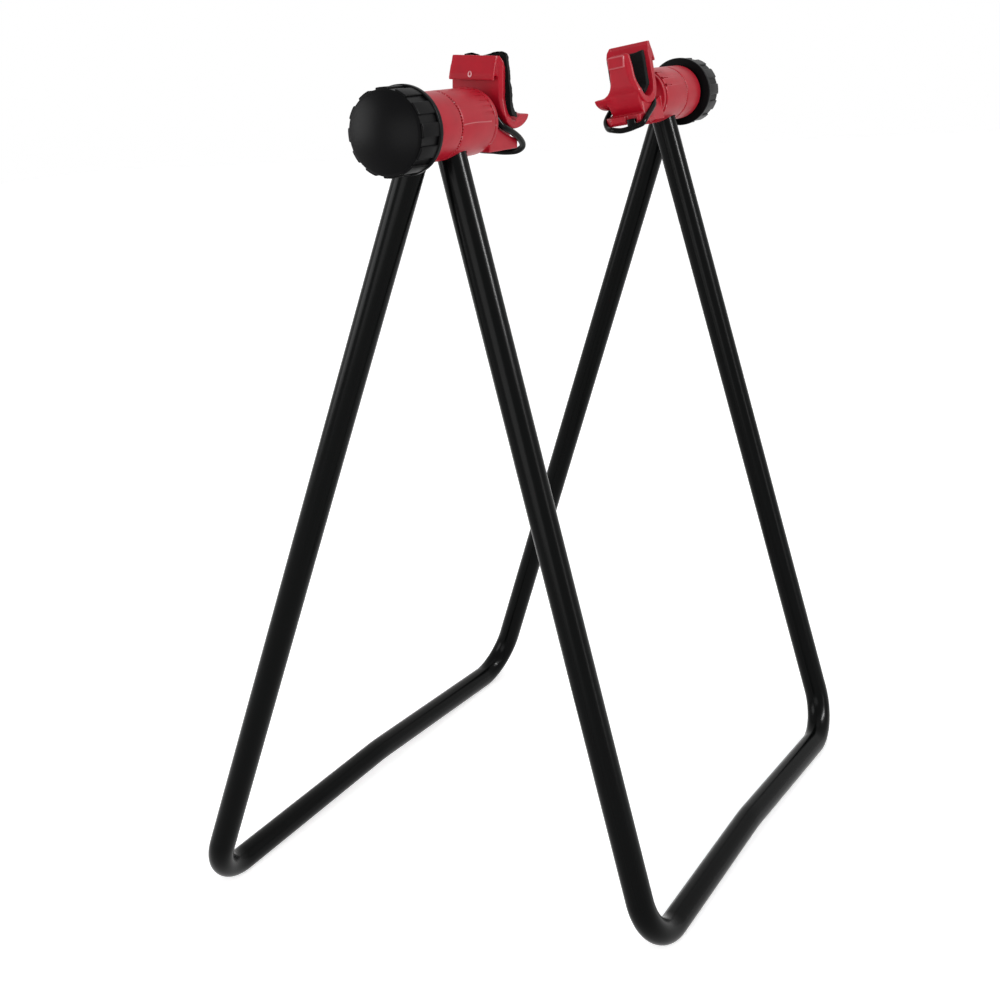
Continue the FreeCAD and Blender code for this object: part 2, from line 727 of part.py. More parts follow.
def place_hook(shape, side):
    """Turn a part of the hook to its side and its lean, and move it to the head axis."""
    tilt = right_hook_tilt if side > 0 else left_hook_tilt
    if side < 0:
        shape.rotate(Vector(0, 0, 0), Vector(0, 0, 1), 180)
    shape.rotate(Vector(0, 0, 0), Vector(1, 0, 0), -tilt)
    shape.translate(Vector(0, head_y, head_height))
    return shape


def build():
    """All parts by name."""
    parts = {
        "wide_frame_tube": frame_tube(wide_top_half, wide_foot_half, wide_lean, wide_bar_rise),
        "narrow_frame_tube": frame_tube(narrow_top_half, narrow_foot_half, -narrow_lean, narrow_bar_rise),
    }
    for name, side in (("right", 1), ("left", -1)):
        parts[name + "_outer_collar"] = place_head(outer_collar(), side)
        parts[name + "_inner_collar"] = place_head(inner_collar(), side)
        parts[name + "_clamp_screw"] = place_head(clamp_screw(), side)
        parts[name + "_knob_washer"] = place_head(knob_washer(), side)
        parts[name + "_knob_grip"] = place_head(knob_grip(), side)
        parts[name + "_knob_cap"] = place_head(knob_cap(), side)
        parts[name + "_hook"] = place_hook(hook_body(), side)
        parts[name + "_hook_nut"] = place_hook(hook_nut(), side)
    parts["right_stay_pad"] = place_hook(stay_pad(right_pad_top, right_pad_shift), 1)
    parts["left_stay_pad"] = place_hook(stay_pad(left_pad_top, left_pad_shift), -1)
    parts["right_rubber_ring"] = place_hook(rubber_ring(right_ring_points), 1)
    parts["left_rubber_ring"] = place_hook(rubber_ring(left_ring_points), -1)
    return parts


os.makedirs("parts", exist_ok=True)
for node, shape in build().items():
    shape.exportStep(os.path.join("parts", node + ".step"))
    print(node, "solids", len(shape.Solids), "valid", shape.isValid(), "volume", round(shape.Volume, 1))
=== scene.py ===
import json
import math

import bmesh
import bpy
from bpy.props import FloatProperty, FloatVectorProperty, IntProperty, PointerProperty, StringProperty
from mathutils import Matrix, Vector, noise


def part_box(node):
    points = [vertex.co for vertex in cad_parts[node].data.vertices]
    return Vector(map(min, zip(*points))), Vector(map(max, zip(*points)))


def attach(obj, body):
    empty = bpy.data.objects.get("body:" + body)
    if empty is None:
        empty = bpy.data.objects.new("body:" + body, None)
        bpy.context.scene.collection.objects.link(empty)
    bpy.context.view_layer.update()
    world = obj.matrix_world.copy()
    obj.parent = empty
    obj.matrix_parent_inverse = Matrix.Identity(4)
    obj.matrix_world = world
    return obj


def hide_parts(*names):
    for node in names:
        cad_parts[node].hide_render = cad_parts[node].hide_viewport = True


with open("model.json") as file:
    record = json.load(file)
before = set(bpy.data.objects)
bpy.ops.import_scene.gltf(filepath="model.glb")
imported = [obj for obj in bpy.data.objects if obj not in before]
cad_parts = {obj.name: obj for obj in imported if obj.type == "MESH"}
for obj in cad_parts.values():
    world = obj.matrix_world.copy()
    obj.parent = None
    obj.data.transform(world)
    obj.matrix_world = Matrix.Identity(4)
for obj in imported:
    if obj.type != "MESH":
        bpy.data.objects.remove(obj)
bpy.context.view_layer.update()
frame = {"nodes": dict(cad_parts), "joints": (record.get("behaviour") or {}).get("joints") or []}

bl_info = {
    "name": "Folding Bicycle Stand",
    "version": (1, 0, 0),
    "blender": (4, 5, 0),
    "location": "View3D > Sidebar > Bicycle Stand",
    "description": "Dresses a folding bicycle stand: tube frames, collars, knobs, hooks and rubber rings",
    "category": "Object",
}

MM = 0.001
SIDES = {"right": 1, "left": -1}
JOINTS = {joint["name"]: joint for joint in frame["joints"]}
HEAD = Vector(JOINTS["fold"]["pos_m"])


def length(name, description, millimetres):
    """A size property, written in millimetres and kept in metres."""
    return FloatProperty(name=name, description=description, default=millimetres * MM,
                         subtype="DISTANCE", unit="LENGTH", precision=4)


def angle(name, description, degrees):
    """An angle property, written in degrees."""
    return FloatProperty(name=name, description=description, default=math.radians(degrees),
                         subtype="ANGLE", unit="ROTATION")


def colour(name, description, code):
    """A colour property, written as an sRGB hex code."""
    return StringProperty(name=name, description=description, default=code)


class TubeSizes(bpy.types.PropertyGroup):
    """Sizes of the two bent tube frames."""
    diameter: length("Tube diameter", "Outside of the tube", 14.0)
    bend_radius: length("Bend radius", "Centreline radius of the lower bends", 26.0)
    crown_radius: length("Crown radius", "Centreline radius in the middle of a foot bar", 150.0)
    end_reach: length("End reach", "How far a leg runs on above the head axis", 8.0)
    wide_top_half: length("Wide top", "Half the distance between the wide legs at the heads", 143.5)
    wide_foot_half: length("Wide foot", "Half the distance between the wide legs at the floor", 168.0)
    wide_rise: length("Wide bar rise", "How far the wide foot bar rises in the middle", 7.4)
    narrow_top_half: length("Narrow top", "Half the distance between the narrow legs at the heads", 124.0)
    narrow_foot_half: length("Narrow foot", "Half the distance between the narrow legs at the floor", 140.5)
    narrow_rise: length("Narrow bar rise", "How far the narrow foot bar rises in the middle", 4.7)


class CollarSizes(bpy.types.PropertyGroup):
    """Sizes of the collars, measured outwards from the middle of the stand."""
    radius: length("Radius", "Outside of both collars", 15.75)
    edge: length("Edge", "Rounding of the rims", 0.7)
    bore: length("Bore", "Radius of the screw hole", 3.3)
    inner_start: length("Inner collar start", "Rim next to the hook", 103.0)
    inner_end: length("Inner collar end", "Rim next to the outer collar", 133.0)
    outer_start: length("Outer collar start", "Rim next to the inner collar", 134.0)
    outer_end: length("Outer collar end", "Rim next to the knob", 154.0)
    mark_length: length("Mark length", "Length of an angle mark", 8.3)
    mark_width: length("Mark width", "Width of an angle mark", 1.5)
    mark_depth: length("Mark depth", "Depth of an angle mark", 0.3)
    mark_pitch: angle("Mark pitch", "Angle between two marks", 11.0)
    mark_count: IntProperty(name="Marks", description="Angle marks on one inner collar", default=15)
    right_pitch: angle("Right mark pitch", "Angle between two marks on the right", 17.5)
    right_first: angle("Right first mark", "Angle of the first mark on the right from the top", -54.5)
    right_count: IntProperty(name="Right marks", description="Angle marks on the right", default=8)
    tooth_count: IntProperty(name="Seam teeth", description="Small teeth round the collars' seam", default=72)
    tooth_height: length("Seam tooth height", "How far a small tooth stands into the seam", 0.95)


class KnobSizes(bpy.types.PropertyGroup):
    """Sizes of the screw knobs."""
    start: length("Start", "Face next to the washer", 155.9)
    boss_radius: length("Boss radius", "Step behind the flange", 11.0)
    flange_start: length("Flange start", "Back of the flange", 157.5)
    flange_radius: length("Flange radius", "Outside of the flange", 20.0)
    grip_start: length("Grip start", "Front of the flange", 160.5)
    grip_end: length("Grip end", "Front of the grip wall", 174.0)
    grip_radius: length("Grip radius", "Over the pads", 19.5)
    groove_depth: length("Groove depth", "Depth between two pads", 0.8)
    pad_count: IntProperty(name="Pads", description="Raised pads round the grip", default=12)
    pad_share: FloatProperty(name="Pad share", description="Share of the round that the pads take up",
                             default=0.62, subtype="FACTOR")
    cap_radius: length("Cap radius", "Outside of the domed cap", 18.5)
    cap_rise: length("Cap rise", "Height of the dome", 4.3)
    cap_rim: length("Cap rim", "Straight edge under the dome", 0.6)


class HookSizes(bpy.types.PropertyGroup):
    """Sizes of the moulded hooks, from the middle of the stand and from the head axis."""
    fin_side: length("Fin side", "From the head axis to the edge with the pointed foot", 13.8)
    notch_side: length("Notch side", "From the head axis to the edge on the side of the notch", 15.0)
    seat_radius: length("Seat radius", "Inside radius of the seat for the stay", 7.5)
    seat_height: length("Seat height", "Centre of the seat above the head axis", 7.0)
    wall: length("Wall", "Thickness of the seat and plate", 3.8)
    plate_outer: length("Plate outside", "Outer face of the plate", 90.8)
    plate_height: length("Plate height", "Top of the plate above the head axis", 29.7)
    lead_width: length("Lead width", "Slope on the inside of the plate's top, across", 3.0)
    lead_height: length("Lead height", "Slope on the inside of the plate's top, down", 5.4)
    plate_fin_side: length("Plate, fin side", "From the head axis to the plate's edge above the seat", 12.0)
    edge_rise: length("Edge rise", "Where the plate starts to widen, above the seat's centre", 3.0)
    edge_fall: length("Edge fall", "Where the plate is at its widest, below the seat's centre", 5.6)
    edge_bevel: length("Edge bevel", "Bevel between the plate's face and its fin side", 1.4)
    corner_width: length("Corner width", "Slanted top corner of the plate, across", 2.3)
    corner_height: length("Corner height", "Slanted top corner of the plate, down", 4.5)
    tongue_height: length("Tongue height", "Top of the tongue above the head axis", 24.3)
    tongue_lean: length("Tongue lean", "How far the tongue leans towards the plate", 3.3)
    tongue_thickness: length("Tongue thickness", "Wall at the top of the tongue", 3.0)
    tongue_fin_side: length("Tongue, fin side", "From the head axis to the straight edge", 3.2)
    tongue_notch_side: length("Tongue, notch side", "From the head axis to the slanted edge's top", 9.0)
    tongue_corner: length("Tongue corner", "Rounding of the tongue's top corners", 2.1)
    tongue_flare: length("Tongue flare", "Radius where the straight edge runs out to the fin", 8.0)
    fin_reach: length("Fin reach", "How far the pointed foot stands out", 3.2)
    tab_fin_side: length("Tab, fin side", "From the head axis to the tab's end", 3.7)
    tab_notch_side: length("Tab, notch side", "From the head axis to the tab's other end", 6.3)
    tab_low: length("Tab low", "Lower edge of the tab", 17.3)
    tab_high: length("Tab high", "Upper edge of the tab", 23.6)
    tab_rise: length("Tab rise", "How far the tab stands out", 1.0)
    lip_inset: length("Lip inset", "From the end of the lip to the fin side", 4.3)
    lip_reach: length("Lip reach", "How far the lip stands out", 3.4)
    lip_drop: length("Lip drop", "Lower edge of the lip below the top", 11.2)
    lip_slope_top: length("Lip slope top", "Where the lip starts to slope, below the top", 0.8)
    lip_slope_end: length("Lip slope end", "Ridge of the lip, below the top", 8.5)
    lip_wall: length("Lip wall", "Thickness of the lip", 1.3)
    neck_radius: length("Neck radius", "Neck between the seat and the flange", 7.5)
    neck_flare: length("Neck flare", "Radius of the round between the neck and the flange", 7.2)
    flange_start: length("Flange start", "Face of the flange next to the seat", 99.5)
    flange_end: length("Flange end", "Face of the flange next to the collar", 102.2)
    flange_radius: length("Flange radius", "Outside of the flange", 15.3)
    shelf_fin_side: length("Shelf, fin side", "From the head axis to the edge of the shelf", 11.4)
    shelf_notch_side: length("Shelf, notch side", "From the head axis to the other edge", 12.4)
    shelf_front: length("Shelf front", "Front edge of the shelf", 67.0)
    shelf_thickness: length("Shelf thickness", "Height of the shelf's front face", 4.6)
    shelf_chamfer: length("Shelf chamfer", "Bevel under the shelf's front", 1.2)
    shelf_root: length("Shelf root", "Top of the shelf at the flange, below the head axis", 1.2)
    shelf_step: length("Shelf step", "Top of the shelf in front, below the head axis", 8.5)
    shelf_slope: length("Shelf slope", "Where the top of the shelf starts to rise", 78.0)
    shelf_corner_depth: length("Shelf corner depth", "Cut corner of the shelf, back from its front", 6.5)
    shelf_corner_width: length("Shelf corner width", "Cut corner of the shelf, across", 5.6)
    web_front: length("Web front", "Front of the web between the shelf and the seat", 69.0)
    web_foot: length("Web foot", "Front of the web where it meets the shelf", 73.2)
    web_fin_side: length("Web, fin side", "From the head axis to the edge of the web", 7.2)
    web_notch_side: length("Web, notch side", "From the head axis to the web's other edge", 13.7)
    web_round_start: length("Web round", "Where the web's other edge starts to round back", 12.2)
    web_back: length("Web back", "Back of the web", 85.0)
    web_top: length("Web top", "Top of the web above the head axis", 4.0)
    shelf_bottom: length("Shelf bottom", "Underside of the shelf, below the head axis", 14.0)
    notch_middle: length("Notch middle", "Middle of the notch, from the head axis", 6.6)
    notch_width: length("Notch width", "Width of the notch for the ring's lug", 7.0)
    notch_depth: length("Notch depth", "Depth of the notch", 3.4)
    gate_place: length("Gate mark", "Middle of the round mark on the lip, from the head axis", -3.3)
    right_tilt: angle("Right tilt", "Lean of the right hook", 7.0)
    left_tilt: angle("Left tilt", "Lean of the left hook", -5.0)


class SoftSizes(bpy.types.PropertyGroup):
    """Sizes of the soft strips and the rubber rings."""
    pad_thickness: length("Strip thickness", "Thickness of the soft strip", 2.9)
    pad_width: length("Strip width", "Width of the soft strip", 24.4)
    pad_glue: length("Glue line", "Gap between the strip and the plate", 0.05)
    ring_wire: length("Ring thickness", "Thickness of the rubber ring", 3.1)
    lug_width: length("Lug width", "Width of the ring's lug", 5.0)
    lug_depth: length("Lug depth", "Depth of the ring's lug", 2.6)
    lug_height: length("Lug height", "Height of the ring's lug", 5.4)


class FinishColours(bpy.types.PropertyGroup):
    """Colours of the finishes as sRGB hex codes."""
    tube_paint: colour("Tube paint", "Black powder coat", "050606")
    red_plastic: colour("Red plastic", "Moulded nylon", "BC0D26")
    red_deep: colour("Red plastic, deep", "Darker streaks in the nylon", "A00A20")
    # The pale red also paints highlights: on sharp edges, the parting line, some seam teeth and the rim of
    # the tab
    red_pale_and_highlight: colour("Red plastic, pale", "Nylon whitened by stress or rubbing", "EFB4B8")
    knob_plastic: colour("Knob plastic", "Black moulded plastic", "080809")
    rubber: colour("Rubber", "Black rubber", "070707")
    foam: colour("Foam", "Black foam strip", "0B0C0C")
    zinc: colour("Zinc", "Plated steel", "B9BCC0")
    floor: colour("Floor", "Pale studio floor", "F4F4F4")


class StageSizes(bpy.types.PropertyGroup):
    """Camera settings."""
    lens: FloatProperty(name="Lens", description="Focal length in millimetres", default=55.44)
    spot: FloatVectorProperty(name="Camera spot", description="Place of the camera in metres",
                              default=(-0.74953, -0.41328, 0.43546), subtype="XYZ")
    look: FloatVectorProperty(name="Camera direction", description="Direction that the camera looks in",
                              default=(0.83259, 0.48160, -0.27360), subtype="XYZ")
    roll: angle("Camera roll", "Turn of the picture about the direction of view", -4.433)


GROUPS = {
    "stand_tube": TubeSizes,
    "stand_collar": CollarSizes,
    "stand_knob": KnobSizes,
    "stand_hook": HookSizes,
    "stand_soft": SoftSizes,
    "stand_finish": FinishColours,
    "stand_stage": StageSizes,
}


def sizes(name):
    """One of the property groups on the scene."""
    return getattr(bpy.context.scene, "stand_" + name)


def linear(code):
    """sRGB hex code to the linear colour that a shader takes."""
    values = [int(code[place:place + 2], 16) / 255 for place in (0, 2, 4)]
    lit = [v / 12.92 if v <= 0.04045 else ((v + 0.055) / 1.055) ** 2.4 for v in values]
    return (*lit, 1.0)


def add(tree, kind, inputs=None, **settings):
    """One node with its settings; inputs maps a socket to a value or to another node's output."""
    node = tree.nodes.new(kind)
    for key, value in settings.items():
        setattr(node, key, value)
    for key, value in (inputs or {}).items():
        if isinstance(value, bpy.types.NodeSocket):
            tree.links.new(value, node.inputs[key])
        else:
            node.inputs[key].default_value = value
    return node


# Materials


def new_material(name):
    """Empty node material and its tree."""
    material = bpy.data.materials.new(name)
    material.use_nodes = True
    material.node_tree.nodes.clear()
    return material, material.node_tree


def object_place(tree):
    """Coordinates that stay with the object."""
    return add(tree, "ShaderNodeTexCoord").outputs["Object"]


def clouds(tree, spot, size, detail):
    """Soft noise in lumps of a size in millimetres."""
    return add(tree, "ShaderNodeTexNoise",
               {"Vector": spot, "Scale": 1 / (size * MM), "Detail": detail}).outputs["Fac"]


def cells(tree, spot, size):
    """Rounded cells of a size in millimetres."""
    return add(tree, "ShaderNodeTexVoronoi", {"Vector": spot, "Scale": 1 / (size * MM)}).outputs["Distance"]


def spread(tree, value, low, high, start=0.0, end=1.0):
    """A value from start to end, mapped to the range from low to high."""
    return add(tree, "ShaderNodeMapRange", {"Value": value, "From Min": start, "From Max": end,
                                            "To Min": low, "To Max": high}).outputs["Result"]


def mixed(tree, share, first, second):
    """The first colour going over to the second."""
    return add(tree, "ShaderNodeMix", {0: share, 6: first, 7: second}, data_type="RGBA").outputs[2]


def relief(tree, height, strength, depth):
    """Bump from a height, with its depth in millimetres."""
    return add(tree, "ShaderNodeBump",
               {"Height": height, "Strength": strength, "Distance": depth * MM}).outputs["Normal"]


def surface(tree, paint, rough, bump, others):
    """Ends a material with its colour, roughness, relief and the values of other sockets."""
    shader = add(tree, "ShaderNodeBsdfPrincipled",
                 {"Base Color": paint, "Roughness": rough, "Normal": bump, **others})
    add(tree, "ShaderNodeOutputMaterial", {"Surface": shader.outputs["BSDF"]})


def powder_coated_steel():
    """Black powder coat: satin gloss with a faint orange peel, so highlights are long and a little soft."""
    material, tree = new_material("black_powder_coat")
    spot = object_place(tree)
    bump = relief(tree, clouds(tree, spot, size=1.4, detail=2.0), strength=0.05, depth=0.2)
    rough = spread(tree, clouds(tree, spot, size=30, detail=3.0), 0.18, 0.26)
    surface(tree, linear(sizes("finish").tube_paint), rough, bump, {"Specular IOR Level": 0.06})
    return material


def moulded_nylon():
    """Red injection moulded nylon: satin, a little cloudy in colour, with a fine spark eroded grain.

    The attribute "pale" turns it whitish: on the gate mark, and as painted highlights on the parting line,
    some seam teeth and the tab's rim. Sharp edges get a painted highlight, a little paler.
    """
    material, tree = new_material("red_moulded_nylon")
    spot = object_place(tree)
    cloud = clouds(tree, spot, size=9, detail=3.0)
    red = mixed(tree, cloud, linear(sizes("finish").red_plastic), linear(sizes("finish").red_deep))
    pale = add(tree, "ShaderNodeAttribute", attribute_name="pale").outputs["Fac"]
    # Painted highlight: convex sharp edges, found by pointiness, are mixed towards the pale red
    sharp = add(tree, "ShaderNodeNewGeometry").outputs["Pointiness"]
    edge = spread(tree, sharp, 0.0, 0.3, start=0.53, end=0.62)
    pale_and_edge_highlight = add(tree, "ShaderNodeMath", {0: pale, 1: edge}, operation="MAXIMUM").outputs["Value"]
    paled = mixed(tree, pale_and_edge_highlight, red, linear(sizes("finish").red_pale_and_highlight))
    bump = relief(tree, clouds(tree, spot, size=0.5, detail=2.0), strength=0.12, depth=0.08)
    surface(tree, paled, spread(tree, cloud, 0.34, 0.44), bump,
            {"Specular IOR Level": 0.17,
             "Subsurface Weight": 0.08,
             "Subsurface Radius": (0.9 * MM, 0.25 * MM, 0.2 * MM),
             "Subsurface Scale": 1.0})
    return material


def moulded_knob_plastic():
    """Black ABS with a fine leather-like mould grain, which spreads the highlight on the dome."""
    material, tree = new_material("black_moulded_abs")
    bump = relief(tree, cells(tree, object_place(tree), size=0.55), strength=0.15, depth=0.06)
    surface(tree, linear(sizes("finish").knob_plastic), 0.36, bump, {"Specular IOR Level": 0.05})
    return material


def moulded_rubber():
    """Black moulded rubber: darker and softer in its shine than the tubes."""
    material, tree = new_material("black_moulded_rubber")
    bump = relief(tree, clouds(tree, object_place(tree), size=0.8, detail=3.0), strength=0.1, depth=0.1)
    surface(tree, linear(sizes("finish").rubber), 0.2, bump, {"Specular IOR Level": 0.06})
    return material


def foam_rubber():
    """Black sponge rubber: matt, with open pores about half a millimetre wide."""
    material, tree = new_material("black_sponge_rubber")
    bump = relief(tree, cells(tree, object_place(tree), size=0.9), strength=0.5, depth=0.3)
    surface(tree, linear(sizes("finish").foam), 0.85, bump, {"Specular IOR Level": 0.12})
    return material


def zinc_plated_steel():
    """Bright zinc plate over turned steel, with fine marks left by the tool."""
    material, tree = new_material("zinc_plated_steel")
    bump = relief(tree, clouds(tree, object_place(tree), size=0.4, detail=2.0), strength=0.1, depth=0.05)
    surface(tree, linear(sizes("finish").zinc), 0.34, bump, {"Metallic": 1.0})
    return material


MAKERS = {
    "black_painted_steel": powder_coated_steel,
    "red_plastic": moulded_nylon,
    "black_plastic": moulded_knob_plastic,
    "black_rubber": moulded_rubber,
    "foam_rubber": foam_rubber,
    "zinc_steel": zinc_plated_steel,
}
made_materials = {}


def finish(slot):
    """The material for one of the record's slots, made once."""
    if slot not in made_materials:
        made_materials[slot] = MAKERS[slot]()
    return made_materials[slot]


# Mesh tools


def arc(centre, radius, start, end, steps):
    """Points on an arc in a plane as pairs, from start to end in degrees."""
    points = []
    for index in range(steps + 1):
        turn = math.radians(start + (end - start) * index / steps)
        points.append((centre[0] + radius * math.cos(turn), centre[1] + radius * math.sin(turn)))
    return points


def lathe(profile, steps=128):
    """Closed turned shape about X from (x, radius) pairs; a radius of 0 closes on the axis."""
    shape = bmesh.new()
    rings = []
    for x, radius in profile:
        if radius < 1e-7:
            rings.append([shape.verts.new((x, 0, 0))])
            continue
        ring = []
        for index in range(steps):
            turn = 2 * math.pi * index / steps
            ring.append(shape.verts.new((x, radius * math.cos(turn), radius * math.sin(turn))))
        rings.append(ring)
    closed = len(rings[0]) > 1 and len(rings[-1]) > 1
    pairs = list(zip(rings, rings[1:])) + ([(rings[-1], rings[0])] if closed else [])
    for first, second in pairs:
        for index in range(steps):
            after = (index + 1) % steps
            corners = [first[index % len(first)], first[after % len(first)],
                       second[after % len(second)], second[index % len(second)]]
            face = list(dict.fromkeys(corners))
            if len(face) > 2:
                shape.faces.new(face)
    bmesh.ops.recalc_face_normals(shape, faces=shape.faces)
    return shape


def prism(outline, offset):
    """Closed prism from a flat outline of 3-D points and the vector to its other end."""
    shape = bmesh.new()
    offset = Vector(offset)
    near = [shape.verts.new(point) for point in outline]
    far = [shape.verts.new(Vector(point) + offset) for point in outline]
    shape.faces.new(near)
    shape.faces.new(list(reversed(far)))
    for index in range(len(near)):
        after = (index + 1) % len(near)
        shape.faces.new((near[after], near[index], far[index], far[after]))
    bmesh.ops.recalc_face_normals(shape, faces=shape.faces)
    return shape


def loft(sections):
    """Closed loft through flat sections that have the same number of points."""
    shape = bmesh.new()
    rings = [[shape.verts.new(point) for point in section] for section in sections]
    shape.faces.new(rings[0])
    shape.faces.new(list(reversed(rings[-1])))
    for first, second in zip(rings, rings[1:]):
        for index in range(len(first)):
            after = (index + 1) % len(first)
            shape.faces.new((first[after], first[index], second[index], second[after]))
    bmesh.ops.recalc_face_normals(shape, faces=shape.faces)
    return shape


def box(low, high):
    """Closed box between two corners."""
    (x0, y0, z0), (x1, y1, z1) = low, high
    return prism([(x0, y0, z0), (x1, y0, z0), (x1, y1, z0), (x0, y1, z0)], (0, 0, z1 - z0))


def linked(name, data):
    """Object at the origin, linked to the scene."""
    item = bpy.data.objects.new(name, data)
    bpy.context.scene.collection.objects.link(item)
    return item


def make_object(name, shape, slot):
    """Object at the origin from a bmesh, with the finish of a slot."""
    mesh = bpy.data.meshes.new(name)
    shape.to_mesh(mesh)
    shape.free()
    piece = linked(name, mesh)
    mesh.materials.append(finish(slot))
    return piece


def shape_of(piece):
    """The mesh of an object as a bmesh; the object is removed."""
    shape = bmesh.new()
    shape.from_mesh(piece.data)
    bpy.data.objects.remove(piece)
    return shape


def joined(shapes):
    """One bmesh with the shells of several."""
    whole = bmesh.new()
    for shape in shapes:
        mesh = bpy.data.meshes.new("shell")
        shape.to_mesh(mesh)
        shape.free()
        whole.from_mesh(mesh)
        bpy.data.meshes.remove(mesh)
    return whole


def modify(piece, kind, **settings):
    """Adds a modifier and applies it at once."""
    modifier = piece.modifiers.new(kind.lower(), kind)
    for key, value in settings.items():
        setattr(modifier, key, value)
    bake(piece)
    return piece


def bake(piece):
    """Turns the modified shape into a plain mesh."""
    graph = bpy.context.evaluated_depsgraph_get()
    mesh = bpy.data.meshes.new_from_object(piece.evaluated_get(graph), depsgraph=graph)
    old = piece.data
    piece.modifiers.clear()
    piece.data = mesh
    bpy.data.meshes.remove(old)


def cut(piece, shapes):
    """Takes closed shapes out of a piece."""
    tool = make_object("tool", joined(shapes), "red_plastic")
    modify(piece, "BOOLEAN", operation="DIFFERENCE", solver="EXACT", object=tool, use_self=True)
    bpy.data.objects.remove(tool)
    return piece


def smooth(piece, limit=35):
    """Smooth shading with creases kept at edges sharper than the limit."""
    mesh = piece.data
    for polygon in mesh.polygons:
        polygon.use_smooth = True
    mesh.set_sharp_from_angle(angle=math.radians(limit))


def whiten(piece, share):
    """Sets how pale the nylon is at each vertex, from a function of its number and its place."""
    mesh = piece.data
    pale = mesh.attributes.new("pale", "FLOAT", "POINT")
    pale.data.foreach_set("value", [share(vertex.index, vertex.co) for vertex in mesh.vertices])


def place(piece, side, tilt=0.0):
    """Moves the mesh of a right-hand head piece to its side and its tilt on the head axis."""
    turn = Matrix.Rotation(math.pi, 4, "Z") if SIDES[side] < 0 else Matrix.Identity(4)
    lean = Matrix.Rotation(-tilt, 4, "X")
    piece.data.transform(Matrix.Translation(HEAD) @ lean @ turn)
    piece.data.update()


def mirrored(piece):
    """Turns a right-hand piece into a left-hand one before it is turned to its side."""
    shape = bmesh.new()
    shape.from_mesh(piece.data)
    shape.transform(Matrix.Scale(-1, 4, Vector((0, 1, 0))))
    bmesh.ops.reverse_faces(shape, faces=shape.faces)
    shape.to_mesh(piece.data)
    shape.free()


def dress(piece, body, node):
    """Hangs a piece on the empty of the body that it rides on, and hides the part that it stands for."""
    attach(piece, body)
    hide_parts(node)


# Tube frames


def leg_lean(node, foot_sign):
    """Lean of a frame's legs from the vertical, from where its foot bar stands."""
    low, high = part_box(node)
    radius = sizes("tube").diameter / 2
    foot = high.y - radius if foot_sign > 0 else low.y + radius
    return math.atan2(foot - HEAD.y, HEAD.z - radius)


def frame_corners(top_half, foot_half, lean, rise):
    """Corner points of a frame's centreline and the fillet radius at each."""
    tube = sizes("tube")
    depth = (HEAD.z - tube.diameter / 2) / math.cos(lean)
    splay = math.atan2(foot_half - top_half, depth)
    slope = math.atan2(rise, foot_half)
    tangent = tube.bend_radius * math.tan((math.pi / 2 + splay + slope) / 2)
    corner_depth = depth + tangent * math.sin(slope) - tube.bend_radius * (1 - math.cos(slope))
    corner_half = top_half + corner_depth * math.tan(splay)
    end_half = top_half - tube.end_reach * math.tan(splay)
    flat = [(end_half, -tube.end_reach), (corner_half, corner_depth), (0.0, corner_depth - rise),
            (-corner_half, corner_depth), (-end_half, -tube.end_reach)]
    points = [HEAD + Vector((half, down * math.sin(lean), -down * math.cos(lean))) for half, down in flat]
    return points, [0.0, tube.bend_radius, tube.crown_radius, tube.bend_radius, 0.0]


def new_tree(name, **numbers):
    """Geometry node tree with a geometry, a material and named number inputs, and its group input."""
    tree = bpy.data.node_groups.new(name, "GeometryNodeTree")
    face = tree.interface
    face.new_socket("Geometry", in_out="INPUT", socket_type="NodeSocketGeometry")
    for label, kind in numbers.items():
        face.new_socket(label.replace("_", " "), in_out="INPUT", socket_type="NodeSocket" + kind)
    face.new_socket("Material", in_out="INPUT", socket_type="NodeSocketMaterial")
    face.new_socket("Geometry", in_out="OUTPUT", socket_type="NodeSocketGeometry")
    return tree, add(tree, "NodeGroupInput").outputs


def end_tree(tree, start, shape):
    """Closes a tree: instances made real, and the material set."""
    real = add(tree, "GeometryNodeRealizeInstances", {"Geometry": shape})
    paint = add(tree, "GeometryNodeSetMaterial",
                {"Geometry": real.outputs["Geometry"], "Material": start["Material"]})
    add(tree, "NodeGroupOutput", {"Geometry": paint.outputs["Geometry"]})


def round_bar(tree, start, curve):
    """Nodes that run a round section along a curve."""
    section = add(tree, "GeometryNodeCurvePrimitiveCircle",
                  {"Radius": start["Radius"], "Resolution": start["Sides"]})
    bar = add(tree, "GeometryNodeCurveToMesh",
              {"Curve": curve, "Profile Curve": section.outputs["Curve"], "Fill Caps": True})
    return bar.outputs["Mesh"]


def bent_tube_tree():
    """Geometry nodes: rounds the corners of a polyline and runs a tube along it."""
    tree, start = new_tree("bent_tube", Radius="Float", Sides="Int", Steps="Int")
    line = add(tree, "GeometryNodeMeshToCurve", {"Mesh": start["Geometry"]})
    bend = add(tree, "GeometryNodeInputNamedAttribute", {"Name": "bend"}, data_type="FLOAT")
    bent = add(tree, "GeometryNodeFilletCurve",
               {"Curve": line.outputs["Curve"], "Radius": bend.outputs["Attribute"], "Count": start["Steps"]},
               mode="POLY")
    end_tree(tree, start, round_bar(tree, start, bent.outputs["Curve"]))
    return tree


def rubber_ring_tree():
    """Geometry nodes: a round bar on a smooth closed line through the points."""
    tree, start = new_tree("rubber_ring", Radius="Float", Sides="Int", Steps="Int")
    line = add(tree, "GeometryNodeMeshToCurve", {"Mesh": start["Geometry"]})
    spline = add(tree, "GeometryNodeCurveSplineType", {"Curve": line.outputs["Curve"]},
                 spline_type="CATMULL_ROM")
    fine = add(tree, "GeometryNodeSetSplineResolution",
               {"Geometry": spline.outputs["Curve"], "Resolution": start["Steps"]})
    end_tree(tree, start, round_bar(tree, start, fine.outputs["Geometry"]))
    return tree


